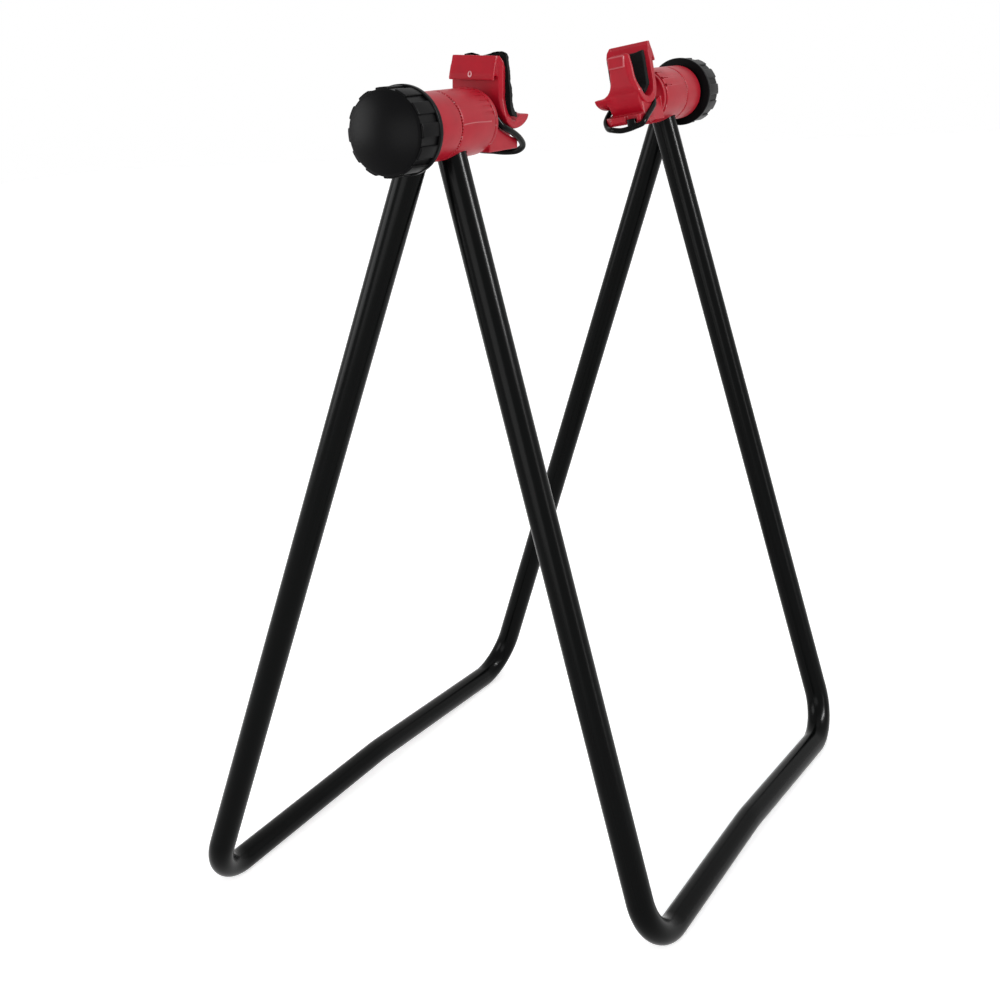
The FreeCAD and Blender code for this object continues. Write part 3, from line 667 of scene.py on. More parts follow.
def round_axis_tree():
    """Geometry nodes: copies of a piece round the X axis, the same angle apart."""
    tree, start = new_tree("round_axis", Count="Int", Step="Float", First="Float", Uneven="Float")
    shift = add(tree, "FunctionNodeRandomValue", {2: 0.0, 3: start["Uneven"]}, data_type="FLOAT")
    back = add(tree, "ShaderNodeMath", {0: 0.0, 1: shift.outputs[1]}, operation="SUBTRACT")
    spot = add(tree, "ShaderNodeCombineXYZ", {"X": back.outputs["Value"]})
    points = add(tree, "GeometryNodePoints", {"Count": start["Count"], "Position": spot.outputs["Vector"]})
    number = add(tree, "GeometryNodeInputIndex")
    turn = add(tree, "ShaderNodeMath", {0: number.outputs["Index"], 1: start["Step"], 2: start["First"]},
               operation="MULTIPLY_ADD")
    spin = add(tree, "ShaderNodeCombineXYZ", {"X": turn.outputs["Value"]})
    copies = add(tree, "GeometryNodeInstanceOnPoints",
                 {"Points": points.outputs[0], "Instance": start["Geometry"],
                  "Rotation": spin.outputs["Vector"]})
    end_tree(tree, start, copies.outputs["Instances"])
    return tree


def grow(piece, tree, slot, **values):
    """Runs a tree on a piece with values for its named inputs, and keeps the plain result."""
    values["Material"] = finish(slot)
    modifier = piece.modifiers.new("grow", "NODES")
    modifier.node_group = tree
    for item in tree.interface.items_tree:
        if item.in_out == "INPUT" and item.name in values:
            modifier[item.identifier] = values[item.name]
    bake(piece)
    return piece


def line_piece(name, points, closed):
    """Object with a polyline as its mesh."""
    mesh = bpy.data.meshes.new(name)
    edges = [(index, index + 1) for index in range(len(points) - 1)]
    if closed:
        edges.append((len(points) - 1, 0))
    mesh.from_pydata(points, edges, [])
    return linked(name, mesh)


def round_axis(shape, slot, count, step, first=0.0, uneven=0.0):
    """A closed shape copied round the X axis, as one bmesh; uneven moves each copy back a little."""
    piece = grow(make_object("one_of_many", shape, slot), round_axis_tree(), slot,
                 Count=count, Step=step, First=first, Uneven=uneven)
    return shape_of(piece)


class STAND_OT_tube_frames(bpy.types.Operator):
    """Adds the wide and the narrow bent tube frame"""
    bl_idname = "stand.tube_frames"
    bl_label = "Tube Frames"

    def execute(self, context):
        tube = sizes("tube")
        plans = {
            "wide_frame": (tube.wide_top_half, tube.wide_foot_half, 1, tube.wide_rise),
            "narrow_frame": (tube.narrow_top_half, tube.narrow_foot_half, -1, tube.narrow_rise),
        }
        for body, (top_half, foot_half, foot_sign, rise) in plans.items():
            node = body + "_tube"
            lean = leg_lean(node, foot_sign)
            corners, radii = frame_corners(top_half, foot_half, lean, rise)
            piece = line_piece(body + "_bent_tube", corners, False)
            bend = piece.data.attributes.new("bend", "FLOAT", "POINT")
            bend.data.foreach_set("value", radii)
            grow(piece, bent_tube_tree(), "black_painted_steel", Radius=tube.diameter / 2, Sides=64, Steps=40)
            smooth(piece, 50)
            dress(piece, body, node)
        return {"FINISHED"}


# Collars


def rounded_ring(start, end, inside, outside, edge):
    """Profile of a ring with rounded outer rims."""
    rim_low = arc((start + edge, outside - edge), edge, 180, 90, 6)
    rim_high = arc((end - edge, outside - edge), edge, 90, 0, 6)
    return [(start, inside), *rim_low, *rim_high, (end, inside)]


def leg_path(top_half, foot_half, lean, side):
    """Point on the head axis where a leg's centreline crosses it, and the direction down the leg."""
    depth = (HEAD.z - sizes("tube").diameter / 2) / math.cos(lean)
    splay = math.atan2(foot_half - top_half, depth)
    down = Vector((SIDES[side] * math.sin(splay), math.cos(splay) * math.sin(lean),
                   -math.cos(splay) * math.cos(lean)))
    return HEAD + Vector((SIDES[side] * top_half, 0, 0)), down


def socket_tool(top_half, foot_half, lean, side):
    """Round cutter from the head axis down along a leg, a little wider than the tube."""
    radius = sizes("tube").diameter / 2 + 0.25 * MM
    reach = 2 * sizes("collar").radius
    start, down = leg_path(top_half, foot_half, lean, side)
    shape = lathe([(0.0, 0.0), (0.0, radius), (reach, radius), (reach, 0.0)], 64)
    turn = Vector((1, 0, 0)).rotation_difference(down).to_matrix().to_4x4()
    shape.transform(Matrix.Translation(start) @ turn)
    return shape


def mark_tools(collar, side):
    """Cutters for the angle marks, which run outwards from the rim next to the hook."""
    rim = collar.inner_start + collar.edge
    half = collar.mark_width / 2
    above = collar.radius + MM
    if side == "left":
        mark = box((rim, -half, collar.radius - collar.mark_depth), (rim + collar.mark_length, half, above))
        first = -(collar.mark_count - 1) / 2 * collar.mark_pitch
        return [round_axis(mark, "red_plastic", collar.mark_count, collar.mark_pitch, first)]
    pit_end = rim + 1.8 * MM
    pit_half = 1.2 * half
    pit_floor = collar.radius - 2.6 * MM
    stroke_floor = collar.radius - 1.4 * collar.mark_depth
    pit = box((rim - 0.5 * MM, -pit_half, pit_floor), (pit_end, pit_half, above))
    stroke = box((pit_end, -half / 2, stroke_floor), (rim + collar.mark_length, half / 4, above))
    return [round_axis(shape, "red_plastic", collar.right_count, collar.right_pitch, collar.right_first)
            for shape in (pit, stroke)]


def seam_root(collar):
    """Where the teeth and the shoulder of the seam start, inside the inner collar's rim."""
    return collar.inner_end - 0.3 * MM


def seam_teeth(collar):
    """Small teeth round the rim of the inner collar, which show in the seam."""
    half = math.pi / collar.tooth_count * collar.radius
    root = seam_root(collar)
    foot_share, crest_share = 0.86, 0.99
    sections = []
    for share in (foot_share, crest_share):
        radius = collar.radius * share
        sections.append([(root, -half * share, radius),
                         (collar.inner_end + collar.tooth_height, 0.0, radius),
                         (root, half * share, radius)])
    return round_axis(loft(sections), "red_plastic", collar.tooth_count, 2 * math.pi / collar.tooth_count,
                      uneven=collar.tooth_height / 2)


def seam_floor(collar):
    """Shoulder between the collars, which keeps the seam shallow."""
    radius = 0.93 * collar.radius
    root = seam_root(collar)
    end = collar.inner_end + 0.9 * MM
    return lathe([(root, radius / 2), (root, radius), (end, radius), (end, radius / 2)])


def parting_line(collar, side):
    """Fine raised line that the mould left along one flank of the inner collar, not quite straight."""
    height = 0.22 * MM
    half = 0.3 * MM
    start = collar.inner_start + 4 * MM
    span = collar.inner_end - collar.inner_start - 4.4 * MM
    flank, sway = 90, 0.8
    steps = 12
    sections = []
    for index in range(steps + 1):
        share = index / steps
        turn = math.radians(SIDES[side] * (flank + sway * math.cos(share * 5)))
        ring = []
        for across, rise in ((-half, -half), (-half, 0.0), (0.0, height), (half, 0.0), (half, -half)):
            radius = collar.radius + rise
            spot = turn + across / radius
            ring.append((start + span * share, radius * math.sin(spot), radius * math.cos(spot)))
        sections.append(ring)
    return loft(sections)


def collar_painted_highlights(collar, spot):
    """How pale the nylon is at a place on the inner collar: a painted highlight on the parting line and
    painted glints on some teeth.
    """
    # Painted highlight on the raised parting line, and painted glints on the tips of some seam teeth
    line_highlight, tooth_glint = 0.4, 0.7
    patch = 1.7 * MM
    radius = math.hypot(spot.y - HEAD.y, spot.z - HEAD.z)
    if radius > collar.radius + 0.05 * MM:
        return line_highlight
    in_seam = abs(spot.x) > collar.inner_end + 0.3 * MM
    return tooth_glint if in_seam and noise.noise(spot / patch) > 0.3 else 0.0


class STAND_OT_collars(bpy.types.Operator):
    """Adds the outer and inner collars of both heads"""
    bl_idname = "stand.collars"
    bl_label = "Collars"

    def execute(self, context):
        c = sizes("collar")
        tube = sizes("tube")
        crease = 30
        for side in SIDES:
            outer = make_object(side + "_outer_collar_shell", lathe(
                rounded_ring(c.outer_start, c.outer_end, c.bore, c.radius, c.edge)), "red_plastic")
            place(outer, side)
            lean = leg_lean("wide_frame_tube", 1)
            cut(outer, [socket_tool(tube.wide_top_half, tube.wide_foot_half, lean, side)])
            smooth(outer, crease)
            dress(outer, "wide_frame", side + "_outer_collar")
            inner = make_object(side + "_inner_collar_shell", lathe(
                rounded_ring(c.inner_start, c.inner_end, c.bore, c.radius, c.edge)), "red_plastic")
            cut(inner, mark_tools(c, side))
            shapes = [shape_of(inner), seam_teeth(c), seam_floor(c), parting_line(c, side)]
            inner = make_object(side + "_inner_collar_shell", joined(shapes), "red_plastic")
            if side == "left":
                mirrored(inner)
            place(inner, side)
            lean = leg_lean("narrow_frame_tube", -1)
            cut(inner, [socket_tool(tube.narrow_top_half, tube.narrow_foot_half, lean, side)])
            whiten(inner, lambda number, spot: collar_painted_highlights(c, spot))
            smooth(inner, crease)
            dress(inner, "narrow_frame", side + "_inner_collar")
        return {"FINISHED"}


# Knobs


def grip_shape(knob):
    """Plain knob body: a step, a flange and the wall that the pads stand on."""
    edge = 0.6 * MM
    wall = knob.grip_radius - knob.groove_depth
    profile = [(knob.start, 0.0), (knob.start, knob.boss_radius), (knob.flange_start, knob.boss_radius)]
    profile += arc((knob.flange_start + edge, knob.flange_radius - edge), edge, 180, 90, 5)
    profile += arc((knob.grip_start - edge, knob.flange_radius - edge), edge, 90, 0, 5)
    profile += [(knob.grip_start, wall), (knob.grip_end - edge / 2, wall), (knob.grip_end, wall - edge / 2),
                (knob.grip_end, 0.0)]
    return lathe(profile, 144)


def grip_pad(knob):
    """One raised pad of the grip, a curved block with rounded edges, at the top of the knob."""
    half = math.pi / knob.pad_count * knob.pad_share
    sunk = 0.5 * MM
    foot = knob.grip_radius - knob.groove_depth - sunk
    edge = 0.45 * MM
    front_edge = 0.5 * MM

    def section(x, inset):
        top = knob.grip_radius - inset
        side = half - inset / top
        low = [(side, foot), (side, top - edge)]
        rounding = [(side - (edge - u) / top, v) for u, v in arc((0.0, top - edge), edge, 0, 90, 4)[1:]]
        crown = [(side * (1 - index / 8) - edge / top * (1 - index / 8), top) for index in range(1, 9)]
        right = low + rounding + crown
        outline = right + [(-turn, radius) for turn, radius in reversed(right[:-1])]
        return [(x, radius * math.sin(turn), radius * math.cos(turn)) for turn, radius in outline]

    levels = [(knob.grip_start - sunk, 0.0), (knob.grip_end - front_edge, 0.0)]
    levels += [(knob.grip_end - front_edge + front_edge * math.sin(math.radians(turn)),
                front_edge * (1 - math.cos(math.radians(turn)))) for turn in (30, 60, 90)]
    return loft([section(x, inset) for x, inset in levels])


def cap_profile(knob):
    """Half section of the domed cap."""
    dome = (knob.cap_radius ** 2 + knob.cap_rise ** 2) / (2 * knob.cap_rise)
    rim_x = knob.grip_end + knob.cap_rim
    centre_x = rim_x + knob.cap_rise - dome
    edge = 0.5 * MM
    spread = math.degrees(math.asin((knob.cap_radius - edge) / dome))
    crown = [(centre_x + x, r) for x, r in arc((0.0, 0.0), dome, spread, 0, 24)]
    crown[-1] = (crown[-1][0], 0.0)
    plug = knob.grip_end - MM
    under = knob.grip_end + 0.05 * MM
    return [(plug, 0.0), (plug, knob.cap_radius - 2 * MM), (under, knob.cap_radius - 1.6 * MM),
            (under, knob.cap_radius - 0.3 * MM), (knob.grip_end + 0.3 * MM, knob.cap_radius), *crown]


class STAND_OT_knobs(bpy.types.Operator):
    """Adds the padded knobs and their domed caps"""
    bl_idname = "stand.knobs"
    bl_label = "Knobs"

    def execute(self, context):
        knob = sizes("knob")
        for side in SIDES:
            pads = round_axis(grip_pad(knob), "black_plastic", knob.pad_count, 2 * math.pi / knob.pad_count)
            grip = make_object(side + "_knob_body", joined([grip_shape(knob), pads]), "black_plastic")
            place(grip, side)
            smooth(grip, 35)
            dress(grip, side + "_knob", side + "_knob_grip")
            cap = make_object(side + "_knob_dome", lathe(cap_profile(knob), 144), "black_plastic")
            place(cap, side)
            smooth(cap, 35)
            dress(cap, side + "_knob", side + "_knob_cap")
        return {"FINISHED"}


# Hooks


def seat_centre(h):
    """Distance of the seat's centre from the middle of the stand."""
    return h.plate_outer - h.wall - h.seat_radius


def flare_height(h):
    """Height of the flare's centre, where the tongue's straight edge starts to run out to the fin."""
    return h.seat_height + h.tongue_flare * 0.4


def hook_section(h):
    """Outline of plate, seat and tongue in (x, z), counted round once."""
    seat_x = seat_centre(h)
    outer = h.seat_radius + h.wall
    foot_x = seat_x - outer
    top_x = foot_x + h.tongue_lean
    sag = -h.tongue_lean * 0.15

    def bow(x0, z0, x1, z1, steps=10):
        shares = [index / steps for index in range(1, steps)]
        return [(x0 + (x1 - x0) * t + sag * 4 * t * (1 - t), z0 + (z1 - z0) * t) for t in shares]

    points = [(h.plate_outer, h.plate_height), (h.plate_outer, h.seat_height)]
    points += arc((seat_x, h.seat_height), outer, 0, -180, 40)[1:]
    points += bow(foot_x, h.seat_height, top_x, h.tongue_height)
    points += [(top_x, h.tongue_height), (top_x + h.tongue_thickness, h.tongue_height)]
    points += bow(top_x + h.tongue_thickness, h.tongue_height, seat_x - h.seat_radius, h.seat_height)
    points += arc((seat_x, h.seat_height), h.seat_radius, -180, 0, 40)
    points += [(seat_x + h.seat_radius, h.plate_height - h.lead_height),
               (seat_x + h.seat_radius + h.lead_width, h.plate_height)]
    return points


# Slanted edge of the tongue as (height, across, bevel) in millimetres, downwards
TONGUE_EDGE = [(22.0, -9.1, 1.8), (16.9, -10.2, 1.8), (11.6, -10.9, 1.8), (8.7, -11.6, 1.8),
               (6.1, -12.7, 1.5), (3.6, -13.6, 1.0), (1.2, -14.2, 0.4)]


def tongue_tools(h):
    """Cutters for the sides of the tongue and the seat: rounded out to the fin, slanted on the other side."""
    seat_x = seat_centre(h)
    front = seat_x - h.seat_radius - h.wall - 5 * MM
    above = h.tongue_height + 2 * MM
    flare = flare_height(h)
    corner = h.tongue_corner
    fin = h.tongue_fin_side
    free = [(fin - corner, above)]
    free += arc((fin - corner, h.tongue_height - corner), corner, 90, 0, 6)
    free += arc((fin + h.tongue_flare, flare), h.tongue_flare, 180, 270, 16)
    free += [(h.fin_side + MM, flare - h.tongue_flare), (h.fin_side + MM, above)]
    slant = [(corner - h.tongue_notch_side, above)]
    slant += arc((corner - h.tongue_notch_side, h.tongue_height - corner), corner, 90, 180, 6)
    slant += [(y * MM, z * MM) for z, y, _ in TONGUE_EDGE]
    slant += [(-h.notch_side - MM, TONGUE_EDGE[-1][0] * MM), (-h.notch_side - MM, above)]
    depth = (seat_x - front, 0, 0)
    sides = [prism([(front, y, z) for y, z in outline], depth) for outline in (free, slant)]
    bottom = -h.shelf_step
    back = seat_x + 6 * MM
    insets = [(front, 1.6 * MM), (seat_x - 2.5 * MM, 1.1 * MM), (back, 0.0), (back, -MM), (front, -MM)]
    taper = prism([(x, -h.notch_side + inset, bottom) for x, inset in insets],
                  (0, 0, h.seat_height + 2 * MM - bottom))
    return [*sides, taper, tongue_bevel(h)]


def tongue_bevel(h):
    """Cutter for the bevel outside along the slanted edge of the tongue."""
    seat_x = seat_centre(h)
    outer = h.seat_radius + h.wall
    slope = 1.4
    bow = 0.6
    sections = []
    for z, y, bevel in [(h.tongue_height / MM + 1.0, *TONGUE_EDGE[0][1:]), *TONGUE_EDGE]:
        y, z, bevel = y * MM, z * MM, bevel * MM
        x = seat_x - math.sqrt(outer ** 2 - min(z - h.seat_height, 0.0) ** 2)
        share = max((z - h.seat_height) / (h.tongue_height - h.seat_height), 0.0)
        x += h.tongue_lean * share * (1 - bow * (1 - share))
        sections.append([(x - MM, y + slope * (bevel + MM), z), (x + bevel, y, z), (x + bevel, y - 2 * MM, z),
                         (x - MM, y - 2 * MM, z)])
    return loft(sections)


def edge_tools(h):
    """Cutters for the plate's edges: narrower above the seat, a top corner slanted and bevelled outside."""
    x = seat_centre(h) + 5 * MM
    through = (h.plate_outer + h.lip_reach + MM - x, 0, 0)
    top = h.plate_height
    fin = h.plate_fin_side
    low = h.seat_height - h.edge_fall
    slant = [(fin - h.corner_width, top), (fin, top - h.corner_height), (fin, h.seat_height + h.edge_rise),
             (h.fin_side, low)]
    inside = 0.57
    side = [(fin - inside * h.corner_width, top + MM), (fin - inside * h.corner_width, top),
            (fin, top - inside * h.corner_height), *slant[2:], (h.fin_side + MM, low),
            (h.fin_side + MM, top + MM)]
    narrow = prism([(x, y, z) for y, z in side], through)
    taper_end = top - 12 * MM
    outline = [(0.8 * MM, top + MM), (-MM, top + MM), (-MM, taper_end), (0.0, taper_end)]
    taper = prism([(x, -h.notch_side + inset, z) for inset, z in outline], through)
    top_bevel = 0.4 * MM
    sections = []
    for (y, z), bevel in zip(slant, (top_bevel, h.edge_bevel, h.edge_bevel, h.edge_bevel)):
        sections.append([(h.plate_outer - bevel, y + MM, z), (h.plate_outer - bevel, y, z),
                         (h.plate_outer, y - bevel, z), (h.plate_outer + MM, y - bevel, z),
                         (h.plate_outer + MM, y + MM, z)])
    sections[0] = [(x0, y0, top + MM) for x0, y0, _ in sections[0]]
    return [narrow, loft(sections), taper]


def hook_lip(h):
    """Outward lip with a downward edge."""
    inside = h.lip_reach - h.lip_wall
    under = h.lip_slope_end + h.lip_wall / 2
    top_reach, slope_reach = h.lip_reach * 0.25, h.lip_reach * 0.3
    points = [(-h.wall / 2, 0.0), (top_reach, 0.0), (slope_reach, h.lip_slope_top),
              (h.lip_reach, h.lip_slope_end), (h.lip_reach, h.lip_drop), (inside, h.lip_drop),
              (inside, under), (-h.wall / 2, under)]
    return prism([(h.plate_outer + x, -h.notch_side, h.plate_height - below) for x, below in points],
                 (0, h.notch_side + h.fin_side - h.lip_inset, 0))


# Half section of the gate mark as (rise, radius) in millimetres
GATE_PROFILE = [(-0.8, 0.0), (-0.8, 1.1), (0.2, 1.1), (0.5, 0.9), (0.3, 0.6), (-0.1, 0.4), (-0.2, 0.0)]


def gate_mark(h):
    """Small raised ring on the lip's ridge, where the mould was filled, longer upwards than across."""
    mark = lathe([(rise * MM, radius * MM) for rise, radius in GATE_PROFILE], 32)
    sunk, lean, stretch = 0.1 * MM, -0.2, 1.4
    spot = (h.plate_outer + h.lip_reach - sunk, h.gate_place, h.plate_height - h.lip_slope_end)
    mark.transform(Matrix.Translation(spot) @ Matrix.Rotation(lean, 4, "Y")
                   @ Matrix.Scale(stretch, 4, Vector((0, 0, 1))))
    return mark


def hook_fin(h):
    """Pointed foot of the tongue on the fin side."""
    seat_x = seat_centre(h)
    outer = h.seat_radius + h.wall
    bottom = h.seat_height - outer
    flare_bottom = flare_height(h) - h.tongue_flare
    rise = h.seat_height - flare_bottom
    tip_x = seat_x - math.sqrt(outer ** 2 - rise ** 2)
    inner_x = seat_x - math.sqrt(h.seat_radius ** 2 - rise ** 2)
    sections = []
    for y, reach in ((h.tongue_fin_side, 0.0), (h.fin_side, h.fin_reach)):
        tip = (tip_x - reach, flare_bottom - 0.3 * MM)
        belly = []
        for index in range(1, 9):
            turn = math.pi / 2 * index / 9
            rise = (1 - math.cos(turn)) ** 0.9
            belly.append((seat_x + (tip[0] - seat_x) * math.sin(turn), y, bottom + (tip[1] - bottom) * rise))
        sections.append([(seat_x, y, bottom), *belly, (tip[0], y, tip[1]), (inner_x, y, flare_bottom),
                         (seat_x, y, h.seat_height - h.seat_radius)])
    return loft(sections)


# Share of the tongue's lean at the foot of the tab
TAB_LEAN = 0.55


def hook_tab(h):
    """Raised rectangular tab on the face of the tongue."""
    foot_x = seat_centre(h) - h.seat_radius - h.wall
    inside = h.tongue_thickness / 2
    section = [(foot_x + h.tongue_lean * TAB_LEAN - h.tab_rise, h.tab_low),
               (foot_x + h.tongue_lean * TAB_LEAN + inside, h.tab_low),
               (foot_x + h.tongue_lean + inside, h.tab_high),
               (foot_x + h.tongue_lean - h.tab_rise, h.tab_high)]
    return prism([(x, -h.tab_notch_side, z) for x, z in section], (0, h.tab_notch_side + h.tab_fin_side, 0))


def hook_neck(h):
    """Neck that flares into the flange on the head axis."""
    rim = 0.3 * MM
    flare = arc((h.flange_start - h.neck_flare, h.neck_radius + h.neck_flare), h.neck_flare, -90, 0, 14)
    return lathe([(seat_centre(h), 0.0), (seat_centre(h), h.neck_radius), *flare,
                  (h.flange_start, h.flange_radius), (h.flange_end - rim, h.flange_radius),
                  (h.flange_end, h.flange_radius - rim), (h.flange_end, 0.0)], 128)


def hook_shelf(h):
    """Shelf and web below the seat, with one cut corner and the notch for the ring's lug."""
    front = h.shelf_front
    bottom = -h.shelf_bottom
    root = (h.flange_start + h.flange_end) / 2
    section = [(root, -h.shelf_root), (h.flange_start, -h.shelf_root), (h.shelf_slope, -h.shelf_step),
               (front, bottom + h.shelf_thickness), (front, bottom + h.shelf_chamfer),
               (front + h.shelf_chamfer, bottom), (root, bottom)]
    width = (0, h.shelf_notch_side + h.shelf_fin_side, 0)
    shelf = prism([(x, -h.shelf_notch_side, z) for x, z in section], width)
    curve = [(h.web_front + (h.web_foot - h.web_front) * share ** 2,
              h.web_top - (h.web_top + h.shelf_step) * share)
             for share in (index / 8 for index in range(9))]
    section = [(h.web_back, h.web_top), *curve, (h.web_foot, bottom + h.shelf_chamfer),
               (h.web_back, bottom + h.shelf_chamfer)]
    web = prism([(x, -h.notch_side, z) for x, z in section], (0, h.notch_side + h.fin_side, 0))
    notch = box((front - MM, -h.notch_middle - h.notch_width / 2, bottom - MM),
                (front + h.notch_depth, -h.notch_middle + h.notch_width / 2, -MM))
    web_cuts = [seat_tool(h), *tongue_tools(h), *web_tools(h)]
    shapes = []
    for name, shape, tools in (("shelf", shelf, [notch]), ("web", web, web_cuts)):
        piece = make_object(name, shape, "red_plastic")
        shapes.append(shape_of(cut(piece, [*tools, shelf_corner_tool(h)])))
    return joined(shapes)


def web_tools(h):
    """Cutters for the two sides of the web, which is narrower than the seat."""
    fin = h.web_fin_side
    low = -h.shelf_bottom - MM
    above = h.web_top + MM
    x = h.web_front - MM
    free = [(fin + 2.2 * MM, above), (fin + 0.9 * MM, 0.0), (fin, -h.shelf_step * 0.4), (fin, low),
            (h.fin_side + MM, low), (h.fin_side + MM, above)]
    back = h.web_back - MM
    curve = []
    for index in range(13):
        turn = math.pi / 2 * index / 12
        curve.append((back - (back - h.web_foot) * math.cos(turn),
                      -h.web_round_start - (h.web_notch_side - h.web_round_start) * math.sin(turn)))
    other = [(x, -h.notch_side - MM), (x, -h.web_round_start), *curve, (h.web_back + MM, -h.web_notch_side),
             (h.web_back + MM, -h.notch_side - MM)]
    return [prism([(x, y, z) for y, z in free], (h.web_back + MM - x, 0, 0)),
            prism([(x, y, low) for x, y in other], (0, 0, above - low))]


def shelf_corner_tool(h):
    """Cutter for the cut corner of the shelf and the web."""
    x = h.shelf_front - MM
    slope = h.shelf_corner_width / h.shelf_corner_depth
    outside = h.shelf_fin_side + slope * MM
    return prism([(x, outside - h.shelf_corner_width - 2 * slope * MM, -h.shelf_bottom - MM),
                  (x, outside, -h.shelf_bottom - MM),
                  (x + h.shelf_corner_depth + 2 * MM, outside, -h.shelf_bottom - MM)],
                 (0, 0, h.shelf_bottom))


def seat_tool(h):
    """The space where the stay lies."""
    seat_x = seat_centre(h)
    outline = [(seat_x + h.seat_radius, h.plate_height + MM)]
    outline += arc((seat_x, h.seat_height), h.seat_radius, 0, -180, 40)
    outline += [(seat_x - h.seat_radius, h.plate_height + MM)]
    return prism([(x, -h.notch_side - MM, z) for x, z in outline], (0, h.notch_side + h.fin_side + 2 * MM, 0))


def hook_gate_and_tab_highlight(h, spot, on_mark):
    """How pale the nylon is at a place on the hook: on the gate mark, and as a painted highlight round the
    rim of the tab.
    """
    if on_mark:
        return 1.0 if spot.x > h.plate_outer + h.lip_reach + 0.05 * MM else 0.0
    face = seat_centre(h) - h.seat_radius - h.wall + h.tongue_lean * TAB_LEAN - h.tab_rise
    face += h.tongue_lean * (1 - TAB_LEAN) * (spot.z - h.tab_low) / (h.tab_high - h.tab_low)
    away = min(spot.y + h.tab_notch_side, h.tab_fin_side - spot.y, spot.z - h.tab_low, h.tab_high - spot.z)
    if spot.x > face + 0.6 * h.tab_rise or away <= -0.3 * MM:
        return 0.0
    # Painted highlight: the rim of the tab is made paler where its rounded edges catch the light
    rim_highlight, rim_width, fade = 0.24, 0.2 * MM, 0.5 * MM
    return rim_highlight * min(max(1.0 - (away - rim_width) / fade, 0.0), 1.0)


def hooks():
    """Each side with the tilt of its hook."""
    h = sizes("hook")
    return ("right", h.right_tilt), ("left", h.left_tilt)


def hook_piece(name):
    """The whole moulded hook, upright on the right side, with softly rounded edges."""
    h = sizes("hook")
    sides = make_object("sides", prism([(x, -h.notch_side, z) for x, z in hook_section(h)],
                                       (0, h.notch_side + h.fin_side, 0)), "red_plastic")
    cut(sides, tongue_tools(h))
    neck = make_object("neck", hook_neck(h), "red_plastic")
    cut(neck, [seat_tool(h)])
    plate = make_object("plate", joined([shape_of(sides), hook_lip(h)]), "red_plastic")
    cut(plate, edge_tools(h))
    whole = joined([shape_of(plate), shape_of(neck), hook_shelf(h), hook_fin(h), hook_tab(h)])
    piece = make_object(name, whole, "red_plastic")
    modify(piece, "REMESH", mode="VOXEL", voxel_size=0.33 * MM, use_smooth_shade=True)
    modify(piece, "SMOOTH", factor=0.5, iterations=5)
    count = len(piece.data.vertices)
    piece = make_object(name, joined([shape_of(piece), gate_mark(h)]), "red_plastic")
    whiten(piece, lambda number, spot: hook_gate_and_tab_highlight(h, spot, number >= count))
    for polygon in piece.data.polygons:
        polygon.use_smooth = True
    return piece


class STAND_OT_hooks(bpy.types.Operator):
    """Adds the moulded hooks that take the stays"""
    bl_idname = "stand.hooks"
    bl_label = "Hooks"

    def execute(self, context):
        for side, tilt in hooks():
            piece = hook_piece(side + "_hook_moulding")
            place(piece, side, tilt)
            dress(piece, side + "_hook_unit", side + "_hook")
        return {"FINISHED"}


# Soft strips

# Upper edge of each strip from the notch side to the fin side, as (across, height) in millimetres
STRIP_TOPS = {
    "left": [(-11.0, 28.6), (-10.2, 30.1), (-7.6, 30.6), (-4.2, 30.3), (-2.2, 29.0), (-0.6, 29.3),
             (2.6, 30.2), (6.2, 31.3), (9.8, 31.4), (11.4, 31.0), (12.2, 29.4)],
    "right": [(-12.3, 24.0), (-11.6, 25.0), (-5.0, 24.3), (0.0, 23.8), (9.4, 23.6), (10.8, 22.6)],
}
# Edges and thickness of each strip by height above the head axis, in millimetres, upwards
STRIP_NOTCH_EDGE = {
    "left": [(0.0, -11.0), (30.0, -11.0)],
    "right": [(0.5, -9.0), (3.0, -10.8), (6.5, -12.3), (20.0, -12.3), (30.0, -11.6)],
}
STRIP_FIN_EDGE = {
    "left": [(3.0, 15.0), (11.6, 14.5), (20.0, 13.6), (29.0, 12.4)],
    "right": [(0.0, 10.8), (30.0, 10.8)],
}
STRIP_THICKNESS = {"left": [(6.0, 4.1), (10.2, 2.9)], "right": [(0.0, 2.9), (30.0, 2.9)]}
# Degrees below the seat's centre to which a strip reaches, at its back and at its front
STRIP_END = {"left": (36.0, 92.0), "right": (62.0, 62.0)}
# How rough the surface of each strip is, and its lumps as (width, height) in millimetres
STRIP_ROUGHNESS = {"left": 1.0, "right": 0.35}
STRIP_LUMPS = ((2.6, 0.34), (1.1, 0.16))


def level(points, spot):
    """Value at a place from (place, value) pairs, run on smoothly between them."""
    for (x0, v0), (x1, v1) in zip(points, points[1:]):
        if spot <= x1:
            share = min(max((spot - x0) / (x1 - x0), 0.0), 1.0)
            share = share * share * (3 - 2 * share)
            return v0 + (v1 - v0) * share
    return points[-1][1]


def strip_section(soft):
    """Points round the strip's section as (share across, depth), with rounded front edges."""
    half = soft.pad_width / 2
    deep = soft.pad_thickness
    edge = 0.9 * MM
    front = 28
    points = [(half, 0.0)]
    points += arc((half - edge, deep - edge), edge, 0, 90, 6)
    points += [((half - edge) * (1 - 2 * index / front), deep) for index in range(1, front)]
    points += arc((edge - half, deep - edge), edge, 90, 180, 6)
    points += [(-half * (1 - 2 * index / front), 0.0) for index in range(front)]
    return [((across + half) / (2 * half), depth / deep) for across, depth in points]


